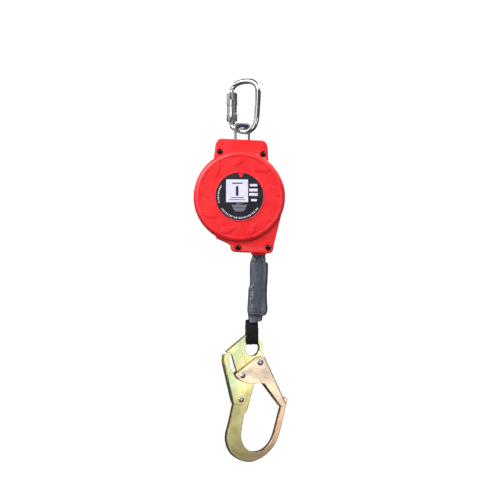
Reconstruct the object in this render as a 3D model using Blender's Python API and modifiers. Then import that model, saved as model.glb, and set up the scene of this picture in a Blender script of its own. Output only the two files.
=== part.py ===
"""Self retracting lifeline: a web lifeline on a spring-wound drum in a two-part plastic housing.

The housing hangs from a swivel bail and a twist-lock carabiner.  Below it hang the energy
absorber pack, a web loop and a large-throat locking hook.

The origin is the bearing point inside the carabiner's top bend, where the anchor holds it.
+X is to the right of the housing's label side, -Y is towards the label side and +Z is up.
Sizes below are in millimetres, and MM turns them into Blender's metres.
"""
import math

import bmesh
import bpy
from mathutils import Matrix, Vector

MM = 0.001
GAP = 0.3                     # kept between neighbouring solids
ARC_STEP = math.radians(20)   # largest angle between two points of a rounded corner

# --- where the assemblies hang, measured from the anchor point ---------------------------
CARABINER_YAW = math.radians(-32)
BAIL_YAW = math.radians(15)
HOOK_YAW = math.radians(17)
SWIVEL_X = -8.1
CENTRE_Y = SWIVEL_X * math.tan(CARABINER_YAW)   # the bail hangs where the bar's plane crosses it
DRUM_X = -14.0
DRUM_Z = -203.0
LINE_X = DRUM_X + 35.3        # the web's straight run, tangent to its own coil
HOOK_X = 8.4
HOOK_Z = -475.3               # height of the middle of the hook's eye

# --- carabiner, in its own plane: u across, v up ------------------------------------------
BAR_RADIUS = 4.95
GATE_U = -31.0
GATE_PIVOT_V = -68.5
NOSE_V = -9.6
SLEEVE_RADIUS = 9.7
SLEEVE_TOP_V = -14.4
SLEEVE_BOTTOM_V = -64.6

# --- bail and swivel, heights measured from the drum's axis -------------------------------
BAR_BOTTOM_Z = 118.2          # middle of the bar that the bail hangs on
BAR_TILT = math.radians(11)   # the bar's slope where the bail hangs, down towards +u
BAIL_TOP_Z = 132.7
BAIL_WIDTH = 28.2
BAIL_THICKNESS = 3.0
BAIL_DEPTH = 6.5
SWIVEL_BASE_RADIUS = 16.0
SWIVEL_BASE_TOP_Z = 102.4
SWIVEL_BASE_BOTTOM_Z = 96.4
STEM_RADIUS = 5.0

# --- housing, drum axis at (0, 0) ----------------------------------------------------------
DISC_RADIUS = 82.0
PLATEAU_RADIUS = 74.0
HALF_DEPTH = 30.0             # from the split plane to the middle of either cover
BLOCK_HALF_DEPTH = 23.5       # the same, at the top and bottom blocks
WALL = 3.0
LABEL_RADIUS = 42.5
SCREWS = {"upper_left": (-34.6, 80.3), "upper_right": (42.5, 76.0),
          "lower_left": (-2.3, -91.6), "lower_right": (51.8, -91.3)}
RECESS_RADIUS = 6.0
RECESS_FLOOR = 12.0           # depth of the recess's floor in front of the split plane

# --- mechanism -------------------------------------------------------------------------------
AXLE_RADIUS = 6.0
HUB_RADIUS = 14.0
COIL_RADIUS = 36.0
FLANGE_RADIUS = 50.0
WEB_WIDTH = 20.0
WEB_THICKNESS = 1.4
SIDE_PLATE_Y = 17.0           # middle of the frame's side plates
SIDE_PLATE_THICKNESS = 3.0
RATCHET_TEETH = 12
RATCHET_OUTER = 46.0
RATCHET_ROOT = 40.0
RATCHET_TIP = 35.0
RATCHET_PHASE = -41.0          # where the first tooth starts, clear of a pawl as it swings out
PAWL_PIVOT_RADIUS = 22.0
SPRING_CASE_RADIUS = 44.0

# --- hook, in its own plane: u across, v up, middle of the eye at (0, 0) --------------------
HOOK_THICKNESS = 12.0
EYE_RADIUS = 13.6
EYE_RING_RADIUS = 19.4
GATE_RIVET = (13.4, -25.4)
STOP_RIVET = (-19.9, -48.6)
LEVER_RIVET = (-22.2, -91.6)
LEVER_INNER = 6.3             # half widths of the lever's and the gate's folded plates
LEVER_OUTER = 7.9
HOOK_GATE_INNER = 8.2
HOOK_GATE_OUTER = 10.2
EYE_BAR_V = 16.4              # middle of the eye's top bar, where the web loop turns
LOOP_RADIUS = 9.2             # inside of the web loop round that bar
LOOP_WIDTH = 17.6
SLEEVE_WIDTH = 20.0


# --- helpers ---------------------------------------------------------------------------------

def clear_scene():
    for old in list(bpy.data.objects):
        bpy.data.objects.remove(old)


def make_collection(name):
    group = bpy.data.collections.new(name)
    bpy.context.scene.collection.children.link(group)
    return group


def make_material(name, colour, roughness, metallic=0.0):
    material = bpy.data.materials.new(name)
    material.use_nodes = True
    shader = material.node_tree.nodes["Principled BSDF"]
    shader.inputs["Base Color"].default_value = (*colour, 1.0)
    shader.inputs["Roughness"].default_value = roughness
    shader.inputs["Metallic"].default_value = metallic
    return material


clear_scene()
OBJECT = make_collection("self_retracting_lifeline")
STEEL = make_material("zinc_steel", (0.62, 0.63, 0.65), 0.25, 1.0)
YELLOW_ZINC = make_material("yellow_zinc", (0.75, 0.66, 0.32), 0.35, 1.0)
GATE_ZINC = make_material("gate_zinc", (0.82, 0.60, 0.42), 0.35, 1.0)
RED = make_material("red_plastic", (0.83, 0.03, 0.04), 0.35)
NAVY = make_material("navy_plastic", (0.02, 0.022, 0.04), 0.45)
CREAM = make_material("cream_liner", (0.68, 0.56, 0.42), 0.6)
LABEL = make_material("label", (0.03, 0.03, 0.04), 0.4)
BLACK_STEEL = make_material("black_steel", (0.03, 0.03, 0.03), 0.4, 0.8)
BRASS = make_material("brass", (0.72, 0.52, 0.2), 0.35, 1.0)
ALUMINIUM = make_material("aluminium", (0.7, 0.71, 0.73), 0.35, 1.0)
SPRING_STEEL = make_material("spring_steel", (0.35, 0.36, 0.38), 0.3, 1.0)
BLACK_WEB = make_material("black_web", (0.02, 0.022, 0.02), 0.85)
SLATE_WRAP = make_material("slate_wrap", (0.09, 0.1, 0.13), 0.35)


def make_axis(name, place, yaw=0.0):
    """An empty on a joint's axis, which the pieces of one moving body hang from."""
    axis = bpy.data.objects.new(name, None)
    axis.empty_display_size = 10 * MM
    axis.location = Vector(place) * MM
    axis.rotation_euler = (0.0, 0.0, yaw)
    OBJECT.objects.link(axis)
    return axis


def settle(piece):
    """Apply a piece's modifiers, or turn a curve into a mesh, and weld what touches."""
    bpy.context.view_layer.update()
    graph = bpy.context.evaluated_depsgraph_get()
    mesh = bpy.data.meshes.new_from_object(piece.evaluated_get(graph))
    name, place = piece.name, piece.matrix_world.copy()
    bpy.data.objects.remove(piece)
    mesh_edit = bmesh.new()
    mesh_edit.from_mesh(mesh)
    bmesh.ops.remove_doubles(mesh_edit, verts=mesh_edit.verts, dist=1e-6)
    bmesh.ops.recalc_face_normals(mesh_edit, faces=mesh_edit.faces)
    mesh_edit.to_mesh(mesh)
    mesh_edit.free()
    settled = bpy.data.objects.new(name, mesh)
    settled.matrix_world = place
    OBJECT.objects.link(settled)
    return settled


def from_bmesh(name, mesh_edit):
    mesh = bpy.data.meshes.new(name)
    mesh_edit.to_mesh(mesh)
    mesh_edit.free()
    piece = bpy.data.objects.new(name, mesh)
    OBJECT.objects.link(piece)
    return piece


TURN = {"X": Matrix.Rotation(math.radians(90), 4, "Y"),
        "Y": Matrix.Rotation(math.radians(90), 4, "X"),
        "Z": Matrix.Identity(4)}


def cylinder(name, radius, length, centre, along="Z", sides=32, top_radius=None):
    """A cylinder, or a cone when top_radius is given, with its middle at centre."""
    mesh_edit = bmesh.new()
    bmesh.ops.create_cone(mesh_edit, cap_ends=True, segments=sides, radius1=radius * MM,
                          radius2=(radius if top_radius is None else top_radius) * MM,
                          depth=length * MM)
    bmesh.ops.transform(mesh_edit, verts=mesh_edit.verts,
                        matrix=Matrix.Translation(Vector(centre) * MM) @ TURN[along])
    return from_bmesh(name, mesh_edit)


def box(name, low, high):
    """A box between two opposite corners."""
    mesh_edit = bmesh.new()
    bmesh.ops.create_cube(mesh_edit, size=1.0)
    size = [(high[i] - low[i]) * MM for i in range(3)]
    middle = Vector([(high[i] + low[i]) / 2 * MM for i in range(3)])
    bmesh.ops.transform(mesh_edit, verts=mesh_edit.verts,
                        matrix=Matrix.Translation(middle) @ Matrix.Diagonal((*size, 1.0)))
    return from_bmesh(name, mesh_edit)


def turned(name, profile, along="Z", sides=32):
    """A turned piece: profile is (radius, height) pairs, running down the outer side."""
    mesh_edit = bmesh.new()
    corners = [mesh_edit.verts.new((r * MM, 0.0, h * MM)) for r, h in profile]
    for first, second in zip(corners, corners[1:]):
        mesh_edit.edges.new((first, second))
    if profile[0][0] > 0:
        mesh_edit.edges.new((corners[-1], corners[0]))
    piece = from_bmesh(name, mesh_edit)
    screw = piece.modifiers.new("turn", "SCREW")
    screw.steps = screw.render_steps = sides
    screw.use_merge_vertices = True
    screw.merge_threshold = 1e-6
    piece = settle(piece)
    piece.data.transform(TURN[along])
    return piece


def arc(centre, radius, start, end, step=ARC_STEP):
    """Points along a circle, from one angle to another, in degrees."""
    start, end = math.radians(start), math.radians(end)
    count = max(2, math.ceil(abs(end - start) / step) + 1)
    angles = [start + (end - start) * i / (count - 1) for i in range(count)]
    return [(centre[0] + radius * math.cos(a), centre[1] + radius * math.sin(a))
            for a in angles]


def rounded(corners):
    """A closed outline through (x, y, radius) corners, each rounded to its radius."""
    outline = []
    for i, (x, y, radius) in enumerate(corners):
        here = Vector((x, y))
        back = (Vector(corners[i - 1][:2]) - here).normalized()
        ahead = (Vector(corners[(i + 1) % len(corners)][:2]) - here).normalized()
        half = back.angle(ahead) / 2
        if radius <= 0 or half > math.radians(89):
            outline.append((x, y))
            continue
        centre = here + (back + ahead).normalized() * (radius / math.sin(half))
        first = here + back * (radius / math.tan(half)) - centre
        turn = first.angle_signed(here + ahead * (radius / math.tan(half)) - centre)
        count = max(1, math.ceil(abs(turn) / ARC_STEP))
        for k in range(count + 1):
            spoke = first.copy()
            spoke.rotate(Matrix.Rotation(-turn * k / count, 2))
            outline.append(tuple(centre + spoke))
    return outline


def smooth(points, pieces=4, closed=False):
    """Points along a smooth curve (Catmull-Rom) through the given ones."""
    points = [Vector(p) for p in points]
    if closed:
        points = [points[-1], *points, points[0], points[1]]
    else:
        points = [2 * points[0] - points[1], *points, 2 * points[-1] - points[-2]]
    path = []
    for before, a, b, after in zip(points, points[1:], points[2:], points[3:]):
        for k in range(pieces):
            t = k / pieces
            path.append(0.5 * (2 * a + (b - before) * t
                               + (2 * before - 5 * a + 4 * b - after) * t ** 2
                               + (3 * a - before - 3 * b + after) * t ** 3))
    if not closed:
        path.append(points[-2])
    return [tuple(p) for p in path]


def plate(name, outlines, low, high, along="Y", bevel=0.0):
    """Flat outlines, filled and made solid from low to high along one axis.

    Along Y the outline's (x, y) are the object's (X, Z), and along X they are its (Y, Z).
    """
    curve = bpy.data.curves.new(name, "CURVE")
    curve.dimensions = "2D"
    curve.fill_mode = "BOTH"
    curve.extrude = ((high - low) / 2 - bevel) * MM
    curve.bevel_depth = bevel * MM
    curve.offset = -bevel * MM
    curve.bevel_resolution = 0
    curve.resolution_u = 1
    curve.render_resolution_u = 0
    for outline in outlines:
        spline = curve.splines.new("POLY")
        spline.points.add(len(outline) - 1)
        for point, (x, y) in zip(spline.points, outline):
            point.co = (x * MM, y * MM, 0.0, 1.0)
        spline.use_cyclic_u = True
    piece = bpy.data.objects.new(name, curve)
    OBJECT.objects.link(piece)
    piece = settle(piece)
    middle = (low + high) / 2 * MM
    upright = Matrix.Rotation(math.radians(90), 4, "X")
    if along == "Y":
        piece.data.transform(Matrix.Translation((0, middle, 0)) @ upright)
    elif along == "X":
        sideways = Matrix.Rotation(math.radians(90), 4, "Z")
        piece.data.transform(Matrix.Translation((middle, 0, 0)) @ sideways @ upright)
    else:
        piece.data.transform(Matrix.Translation((0, 0, middle)))
    return piece


def tube(name, points, radius, resolution=2):
    """A round bar or wire along a list of (x, y, z) points."""
    curve = bpy.data.curves.new(name, "CURVE")
    curve.dimensions = "3D"
    curve.bevel_depth = radius * MM
    curve.bevel_resolution = resolution
    curve.use_fill_caps = True
    curve.resolution_u = 1
    curve.render_resolution_u = 0
    spline = curve.splines.new("POLY")
    spline.points.add(len(points) - 1)
    for point, place in zip(spline.points, points):
        point.co = (*(Vector(place) * MM), 1.0)
    piece = bpy.data.objects.new(name, curve)
    OBJECT.objects.link(piece)
    return settle(piece)


def combine(piece, others, operation):
    """Cut the others out of a piece, or join them to it, and remove them."""
    for other in others:
        step = piece.modifiers.new(other.name, "BOOLEAN")
        step.operation = operation
        step.solver = "EXACT"
        step.object = other
    piece = settle(piece)
    for other in others:
        bpy.data.objects.remove(other)
    return piece


def cut(piece, *cutters):
    return combine(piece, cutters, "DIFFERENCE")


def join(piece, *others):
    return combine(piece, others, "UNION")


def finish(piece, material, axis, at=(0.0, 0.0, 0.0)):
    """Give a piece its material and hang it from its joint's empty."""
    piece.data.materials.clear()
    piece.data.materials.append(material)
    piece.data.shade_smooth()
    piece.data.set_sharp_from_angle(angle=math.radians(32))
    piece.parent = axis
    piece.location = Vector(at) * MM
    return piece


# --- carabiner ---------------------------------------------------------------------------------

BAR_ROUTE = [(-31.1, NOSE_V - 4), (-30.6, -8.0), (-27.6, -3.0), (-21.6, 1.0), (-12.0, 4.0),
             (0.0, BAR_RADIUS),
             (11.0, 3.6), (19.0, -1.6), (22.6, -10.0), (23.1, -22.0), (22.0, -40.0),
             (20.8, -56.0), (18.9, -68.0), (14.2, -77.5), (6.0, -83.8), (-4.0, -85.6),
             (-14.0, -83.6), (-22.8, -79.6), (-28.6, -76.2), (-30.6, -73.9)]


def build_carabiner(root):
    pivot = make_axis("carabiner_gate_axis", (GATE_U * math.cos(CARABINER_YAW),
                                              GATE_U * math.sin(CARABINER_YAW),
                                              GATE_PIVOT_V), CARABINER_YAW)
    route = [(u, 0.0, v) for u, v in smooth(BAR_ROUTE, pieces=2)]
    body = tube("carabiner_body", route, BAR_RADIUS, resolution=2)
    tang = plate("tang", [rounded([(-34.4, -78.0, 0), (-27.6, -79.5, 0), (-27.6, -65.0, 3.2),
                                   (-34.4, -65.0, 3.2)])], -2.0, 2.0)
    seat = cylinder("seat", 5.1, 14, (GATE_U, 0, GATE_PIVOT_V), "Y", 32)
    hole = cylinder("hole", 2.2, 8, (GATE_U, 0, GATE_PIVOT_V), "Y", 16)
    below_nose = box("below_nose", (GATE_U - 8, -8, NOSE_V - 12), (GATE_U + 8, 8, NOSE_V))
    body = cut(join(cut(body, seat, below_nose), tang), hole)
    finish(body, STEEL, root)

    top = NOSE_V - 0.7 - GATE_PIVOT_V
    gate = turned("carabiner_gate", [(0, top), (3.6, top), (4.7, top - 1.6), (4.7, 0.0), (0, 0.0)],
                  sides=20)
    knuckle = cylinder("knuckle", 4.5, 9.2, (0, 0, 0), "Y", 24)
    slot = box("slot", (-6, -2.35, -6), (6, 2.35, 4.6))
    hole = cylinder("hole", 2.2, 14, (0, 0, 0), "Y", 16)
    gate = cut(join(gate, knuckle), slot, hole)
    finish(gate, STEEL, pivot)

    pin = cylinder("carabiner_gate_pin", 1.9, 9.4, (GATE_U, 0, GATE_PIVOT_V), "Y", 16)
    finish(pin, STEEL, root)

    low, high = SLEEVE_BOTTOM_V - GATE_PIVOT_V, SLEEVE_TOP_V - GATE_PIVOT_V
    waist_top, waist_low = high - 23.5, high - 37.0
    outer = SLEEVE_RADIUS
    sleeve = turned("carabiner_sleeve",
                    [(5.3, high), (outer - 1, high), (outer, high - 1), (outer, waist_top + 0.6),
                     (outer - 0.8, waist_top), (outer - 0.8, waist_low), (outer, waist_low - 0.6),
                     (outer, low + 1), (outer - 1, low), (5.3, low)], sides=28)
    finish(sleeve, STEEL, pivot)


# --- bail and swivel -----------------------------------------------------------------------------

def bar_groove():
    """The room that the carabiner's bar needs under the bail, as it swings about the bar."""
    groove = cylinder("groove", BAR_RADIUS + 1.2, 60, (0, 0, 0), "X", 32)
    groove.data.transform(Matrix.Rotation(BAR_TILT, 4, "Y"))
    groove.data.transform(Matrix.Rotation(CARABINER_YAW - BAIL_YAW, 4, "Z"))
    groove.data.transform(Matrix.Translation((0, 0, BAR_BOTTOM_Z * MM)))
    return groove


def build_bail(axis):
    """The bail's pieces, in heights from the drum's axis, hang from the bar's axis."""
    offset = (0.0, 0.0, -BAR_BOTTOM_Z)
    half, thick, deep = BAIL_WIDTH / 2, BAIL_THICKNESS, BAIL_DEPTH / 2
    foot = SWIVEL_BASE_TOP_Z - 3.6
    corner = 5.0
    outside = arc((half - corner, BAIL_TOP_Z - corner), corner, 0, 90)
    outside += arc((corner - half, BAIL_TOP_Z - corner), corner, 90, 180)
    inside = arc((corner - half, BAIL_TOP_Z - corner), corner - thick, 180, 90)
    inside += arc((half - corner, BAIL_TOP_Z - corner), corner - thick, 90, 0)
    strap = [(half, foot), *outside, (-half, foot), (thick - half, foot), *inside,
             (half - thick, foot)]
    bail = plate("bail", [strap], -deep, deep)
    finish(bail, STEEL, axis, offset)

    inner = half - thick - GAP
    top = BAIL_TOP_Z - thick - GAP
    arch_centre = BAR_BOTTOM_Z - 3.2
    liner_in, liner_out = 8.2, 10.0
    saddle_low = arch_centre + 4.8
    spread = math.degrees(math.asin((saddle_low - arch_centre) / (liner_out + GAP)))
    saddle = [(inner, saddle_low)]
    saddle += arc((inner - 2.2, top - 2.2), 2.2, 0, 90)
    saddle += arc((2.2 - inner, top - 2.2), 2.2, 90, 180)
    saddle += [(-inner, saddle_low)]
    saddle += arc((0, arch_centre), liner_out + GAP, 180 - spread, spread)
    block = plate("saddle_insert", [saddle], -deep + GAP, deep - GAP)
    finish(cut(block, bar_groove()), NAVY, axis, offset)
    band = arc((0, arch_centre), liner_out, 30, 150) + arc((0, arch_centre), liner_in, 150, 30)
    liner = plate("wear_liner", [band], -deep + GAP, deep - GAP)
    finish(cut(liner, bar_groove()), CREAM, axis, offset)

    top, low = SWIVEL_BASE_TOP_Z, SWIVEL_BASE_BOTTOM_Z
    stem_low = 73.5
    base = turned("swivel_base", [(0, top), (SWIVEL_BASE_RADIUS - 0.8, top),
                                  (SWIVEL_BASE_RADIUS, top - 0.8), (SWIVEL_BASE_RADIUS, low),
                                  (STEM_RADIUS, low), (STEM_RADIUS, stem_low), (0, stem_low)],
                  sides=32)
    for side in (-1, 1):
        middle = side * (half - thick / 2)
        reach = thick / 2 + GAP
        pocket = box("pocket", (middle - reach, -deep - GAP, foot - GAP),
                     (middle + reach, deep + GAP, top + 1))
        base = cut(base, pocket)
    finish(base, STEEL, axis, offset)
    washer = turned("thrust_washer", [(STEM_RADIUS + GAP, 84.6), (10, 84.6), (10, 83.1),
                                      (STEM_RADIUS + GAP, 83.1)], sides=24)
    finish(washer, BRASS, axis, offset)
    nut = cylinder("swivel_nut", 9.2, 7.0, (0, 0, 79.2), "Z", 6)
    bore = cylinder("bore", STEM_RADIUS + GAP, 10, (0, 0, 79.2), "Z", 24)
    finish(cut(nut, bore), STEEL, axis, offset)


# --- housing ---------------------------------------------------------------------------------------

def housing_outline():
    """The housing seen from its label side: the disc with a block above and one below."""
    rim = DISC_RADIUS - 1.2       # just inside the disc, which forms the rim itself
    left = arc((0, 0), rim, 124.5, 238.5, math.radians(9))
    right = arc((0, 0), rim, -15.5, 49.5, math.radians(9))
    corners = [(x, y, 0) for x, y in left]
    corners += [(-41.5, -74.5, 2), (-19.5, -84.5, 4), (-15.0, -88.0, 4), (-15.5, -99.2, 9),
                (59.5, -102.2, 9.5), (62.0, -86.0, 4)]
    corners += [(x, y, 0) for x, y in right]
    corners += [(50.6, 88.5, 20), (48.4, 100.2, 11), (-41.0, 104.3, 11), (-43.0, 88.0, 20)]
    return rounded(corners)


def build_shell(name, label_side):
    """One cover: the rounded outline and disc, hollowed from the split plane."""
    shell = plate(name, [housing_outline()], -8.0, BLOCK_HALF_DEPTH, bevel=2.6)
    half_space = box("half", (-120, -60, -130), (120, GAP / 2, 130))
    shell = cut(shell, half_space)
    disc = cover_disc("disc", DISC_RADIUS, PLATEAU_RADIUS, HALF_DEPTH, GAP / 2)
    shell = join(shell, disc)
    hollow = cover_disc("hollow", DISC_RADIUS - WALL, PLATEAU_RADIUS - 1, HALF_DEPTH - WALL, -1)
    inside = BLOCK_HALF_DEPTH - WALL
    top_bay = box("top_bay", (-24.5, -1, 50), (35.5, inside, 92.3))
    low_bay = box("low_bay", (8.5, -1, -96.5), (43.5, inside, -40))
    web_bay = box("web_bay", (20, -1, -97.5), (47.2, 8, -50))
    shell = cut(cut(shell, hollow, top_bay, low_bay), web_bay)
    centre = SWIVEL_X - DRUM_X
    well = cylinder("well", SWIVEL_BASE_RADIUS + 0.8, 20, (centre, 0, 105.7), "Z", 32)
    stem_hole = cylinder("stem_hole", STEM_RADIUS + 0.8, 20, (centre, 0, 94), "Z", 24)
    mouth = plate("mouth", [rounded([(22.2, -13.6, 4), (48.4, -13.6, 4), (48.4, 13.6, 4),
                                     (22.2, 13.6, 4)])], -120, -90, along="Z")
    shell = cut(shell, well, stem_hole, mouth)
    if label_side:
        recess = cylinder("recess", LABEL_RADIUS + GAP, 2, (0, HALF_DEPTH + 0.2, 0), "Y", 36)
        shell = cut(shell, recess)
    for x, z in SCREWS.values():
        if label_side:
            head = cylinder("head", RECESS_RADIUS, 30, (x, RECESS_FLOOR + 15, z), "Y", 20)
            shank = cylinder("shank", 2.8, 30, (x, 5, z), "Y", 12)
            shell = cut(shell, head, shank)
        else:
            socket = cylinder("socket", 4.3, 34, (x, 0, z), "Y", 16)
            shell = cut(shell, socket)
    return shell


def cover_disc(name, outer, plateau, depth, start):
    """A turned disc about Y, with a quarter-round from its face to its rim."""
    lip = outer - plateau
    rim = [(plateau + lip * math.sin(math.radians(a)), depth - 9 * (1 - math.cos(math.radians(a))))
           for a in (0, 30, 60, 90)]
    profile = [(0, depth), *rim, (outer, start), (0, start)]
    disc = turned(name, profile, sides=48)
    disc.data.transform(Matrix.Rotation(math.radians(-90), 4, "X"))
    return disc


def face_front(piece):
    """Mirror a piece from +Y, where the covers are drawn, to the label side."""
    piece.data.transform(Matrix.Diagonal((1, -1, 1, 1)))
    piece.data.flip_normals()
    return piece


def build_housing(axis):
    at = (DRUM_X - SWIVEL_X, 0, 0)
    finish(face_front(build_shell("front_cover", True)), RED, axis, at)
    finish(build_shell("rear_cover", False), RED, axis, at)

    badge = cylinder("label_plate", LABEL_RADIUS, 0.6, (0, -HALF_DEPTH + 0.2, 0), "Y", 36)
    finish(badge, LABEL, axis, at)

    for name, (x, z) in SCREWS.items():
        screw = cylinder(f"housing_screw_{name}", 4.2, 5.0, (x, -RECESS_FLOOR - 2.8, z), "Y", 20)
        shank = cylinder("shank", 2.4, 26.0, (x, -RECESS_FLOOR + 10, z), "Y", 12)
        socket = cylinder("socket", 2.4, 3.0, (x, -RECESS_FLOOR - 5.1, z), "Y", 6)
        screw = cut(join(screw, shank), socket)
        finish(screw, BLACK_STEEL, axis, at)
        insert = cylinder(f"threaded_insert_{name}", 4.0, 14.0, (x, 8.5, z), "Y", 16)
        bore = cylinder("bore", 2.75, 20, (x, 8.5, z), "Y", 12)
        finish(cut(insert, bore), BRASS, axis, at)

    lip = rounded([(22.5, -13.3, 4), (48.1, -13.3, 4), (48.1, 13.3, 4), (22.5, 13.3, 4)])
    hole = rounded([(24.7, -11.6, 3), (45.9, -11.6, 3), (45.9, 11.6, 3), (24.7, 11.6, 3)])
    guide = plate("line_guide", [lip, hole], -104.8, -93.0, along="Z")
    flange = rounded([(24.0, -15.6, 1), (43.0, -15.6, 1), (43.0, 15.6, 1), (24.0, 15.6, 1)])
    ledge = plate("ledge", [flange], -96.2, -94.0, along="Z")
    throat = plate("throat", [hole], -110.0, -90.0, along="Z")
    guide = cut(join(guide, ledge), throat)
    finish(guide, RED, axis, at)
    build_frame(axis, at)


def build_frame(axis, at):
    centre = SWIVEL_X - DRUM_X
    outer = SIDE_PLATE_Y + SIDE_PLATE_THICKNESS / 2
    inner = SIDE_PLATE_Y - SIDE_PLATE_THICKNESS / 2
    side = rounded([(-20, -18, 16), (20, -18, 16), (centre + 18, 91.4, 3), (centre - 18, 91.4, 3)])
    yoke = plate("frame_yoke", [side], -outer, outer)
    between = box("between", (-60, -inner, -60), (60, inner, 85.4))
    stem = cylinder("stem", STEM_RADIUS + 0.5, 20, (centre, 0, 88), "Z", 24)
    journal = cylinder("journal", 9.0, 60, (0, 0, 0), "Y", 32)
    finish(cut(yoke, between, stem, journal), STEEL, axis, at)

    for name, side in (("front", -1), ("rear", 1)):
        bush = turned(f"bush_{name}", [(AXLE_RADIUS + 0.4, 1.5), (8.7, 1.5), (8.7, -1.5),
                                       (AXLE_RADIUS + 0.4, -1.5)], along="Y", sides=24)
        bush.data.transform(Matrix.Translation((0, side * SIDE_PLATE_Y * MM, 0)))
        finish(bush, BRASS, axis, at)

    rim = arc((0, 0), RATCHET_OUTER, 0, 354, math.radians(6.1))
    teeth = []
    for k in range(RATCHET_TEETH):
        start = math.radians(RATCHET_PHASE - 360 / RATCHET_TEETH * k)
        for radius, turn in ((RATCHET_TIP, 0), (RATCHET_ROOT, -10), (RATCHET_ROOT, -24),
                             (RATCHET_TIP, -25)):
            angle = start + math.radians(turn)
            teeth.append((radius * math.cos(angle), radius * math.sin(angle)))
    ring = plate("ratchet_ring", [rim, teeth], -24.2, -outer - GAP)
    finish(ring, BLACK_STEEL, axis, at)

    low, high = outer + GAP, HALF_DEPTH - WALL - 0.4
    case = turned("spring_case", [(9.0, high), (SPRING_CASE_RADIUS, high),
                                  (SPRING_CASE_RADIUS, low), (SPRING_CASE_RADIUS - 1.4, low),
                                  (SPRING_CASE_RADIUS - 1.4, high - 1.2), (9.0, high - 1.2)],
                  sides=40)
    case.data.transform(Matrix.Rotation(math.radians(-90), 4, "X"))
    finish(case, ALUMINIUM, axis, at)

    turns, steps = 6, 14
    strip = []
    for offset in (0.35, -0.35):
        edge = []
        for i in range(turns * steps + 1):
            angle = math.tau * i / steps
            radius = 9.5 + (31.5 * i / (turns * steps)) + offset
            edge.append((radius * math.cos(angle), radius * math.sin(angle)))
        strip += edge if offset > 0 else edge[::-1]
    finish(plate("power_spring", [strip], low + 0.4, high - 1.6), SPRING_STEEL, axis, at)


# --- drum --------------------------------------------------------------------------------------------

def build_drum(axis, pawl_axes):
    axle = cylinder("drum_axle", AXLE_RADIUS, 50.6, (0, -0.2, 0), "Y", 32)
    finish(axle, STEEL, axis)
    hub = turned("drum_hub", [(AXLE_RADIUS + GAP, 11.6), (HUB_RADIUS, 11.6), (HUB_RADIUS, -11.6),
                              (AXLE_RADIUS + GAP, -11.6)], along="Y", sides=24)
    finish(hub, ALUMINIUM, axis)
    for name, side in (("front", -1), ("rear", 1)):
        flange = turned(f"drum_flange_{name}", [(AXLE_RADIUS + GAP, 1.2), (FLANGE_RADIUS, 1.2),
                                                (FLANGE_RADIUS, -1.2), (AXLE_RADIUS + GAP, -1.2)],
                        along="Y", sides=32)
        flange.data.transform(Matrix.Translation((0, side * 13.1 * MM, 0)))
        finish(flange, ALUMINIUM, axis)
        ring = turned(f"axle_circlip_{name}", [(AXLE_RADIUS + GAP, 0.5), (8.2, 0.5), (8.2, -0.5),
                                               (AXLE_RADIUS + GAP, -0.5)], along="Y", sides=16)
        ring.data.transform(Matrix.Translation((0, side * 19.4 * MM, 0)))
        finish(ring, SPRING_STEEL, axis)
    wide = WEB_WIDTH / 2
    coil = turned("web_coil", [(HUB_RADIUS + GAP, wide), (COIL_RADIUS - WEB_THICKNESS, wide),
                               (COIL_RADIUS - WEB_THICKNESS, -wide), (HUB_RADIUS + GAP, -wide)],
                  along="Y", sides=32)
    finish(coil, BLACK_WEB, axis)
    carrier = turned("pawl_carrier", [(AXLE_RADIUS + GAP, 0.7), (29.5, 0.7), (29.5, -0.7),
                                      (AXLE_RADIUS + GAP, -0.7)], along="Y", sides=24)
    carrier.data.transform(Matrix.Translation((0, -25.4 * MM, 0)))
    finish(carrier, STEEL, axis)

    for number, turn in ((1, 0), (2, 180)):
        angle = math.radians(turn)
        flip = -1 if turn else 1
        place = (flip * PAWL_PIVOT_RADIUS, 0, 0)
        pin = cylinder(f"pawl_pin_{number}", 2.2, 4.6, (place[0], -22.1, 0), "Y", 14)
        finish(pin, STEEL, axis)
        shape = rounded([(4.5, 3.5, 3.5), (-4.5, 3.5, 3.5), (-4.2, -6.0, 4), (1.2, -18.0, 2),
                         (5.8, -20.2, 1.0), (7.6, -17.0, 1.0), (4.8, -8.0, 6)])
        hole = arc((0, 0), 2.6, 0, 337.5, math.radians(23))
        pawl = plate(f"pawl_{number}", [shape, hole], -23.8, -20.0)
        pawl.data.transform(Matrix.Rotation(angle, 4, "Y"))
        finish(pawl, BLACK_STEEL, pawl_axes[number - 1])
        wire = [(x, -22.0, z) for x, z in smooth([(-10.6, 10.0), (-9.2, 14.0), (-5.0, 16.0),
                                                   (2.0, 15.2), (9.0, 12.6)], pieces=3)]
        spring = tube(f"pawl_spring_{number}", [(flip * x, y, flip * z) for x, y, z in wire],
                      0.5, resolution=1)
        finish(spring, SPRING_STEEL, axis)


# --- lifeline ------------------------------------------------------------------------------------------

PACK_SECTIONS = [  # height, middle, half width and half depth, from the line's own axis
    (-105.6, 0.0, 10.9, 4.0), (-112.0, -0.6, 11.6, 4.4), (-116.4, 0.4, 13.6, 6.0),
    (-120.5, 0.6, 15.8, 9.0), (-132.0, 0.6, 16.0, 10.6), (-152.0, 0.0, 15.9, 11.0),
    (-160.0, -1.2, 17.0, 11.0), (-185.0, -1.8, 17.4, 11.0), (-198.0, -2.2, 18.0, 10.8),
    (-208.0, -2.6, 17.0, 10.0), (-216.0, -5.6, 13.4, 8.4), (-223.0, -6.8, 12.4, 7.4)]


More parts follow.
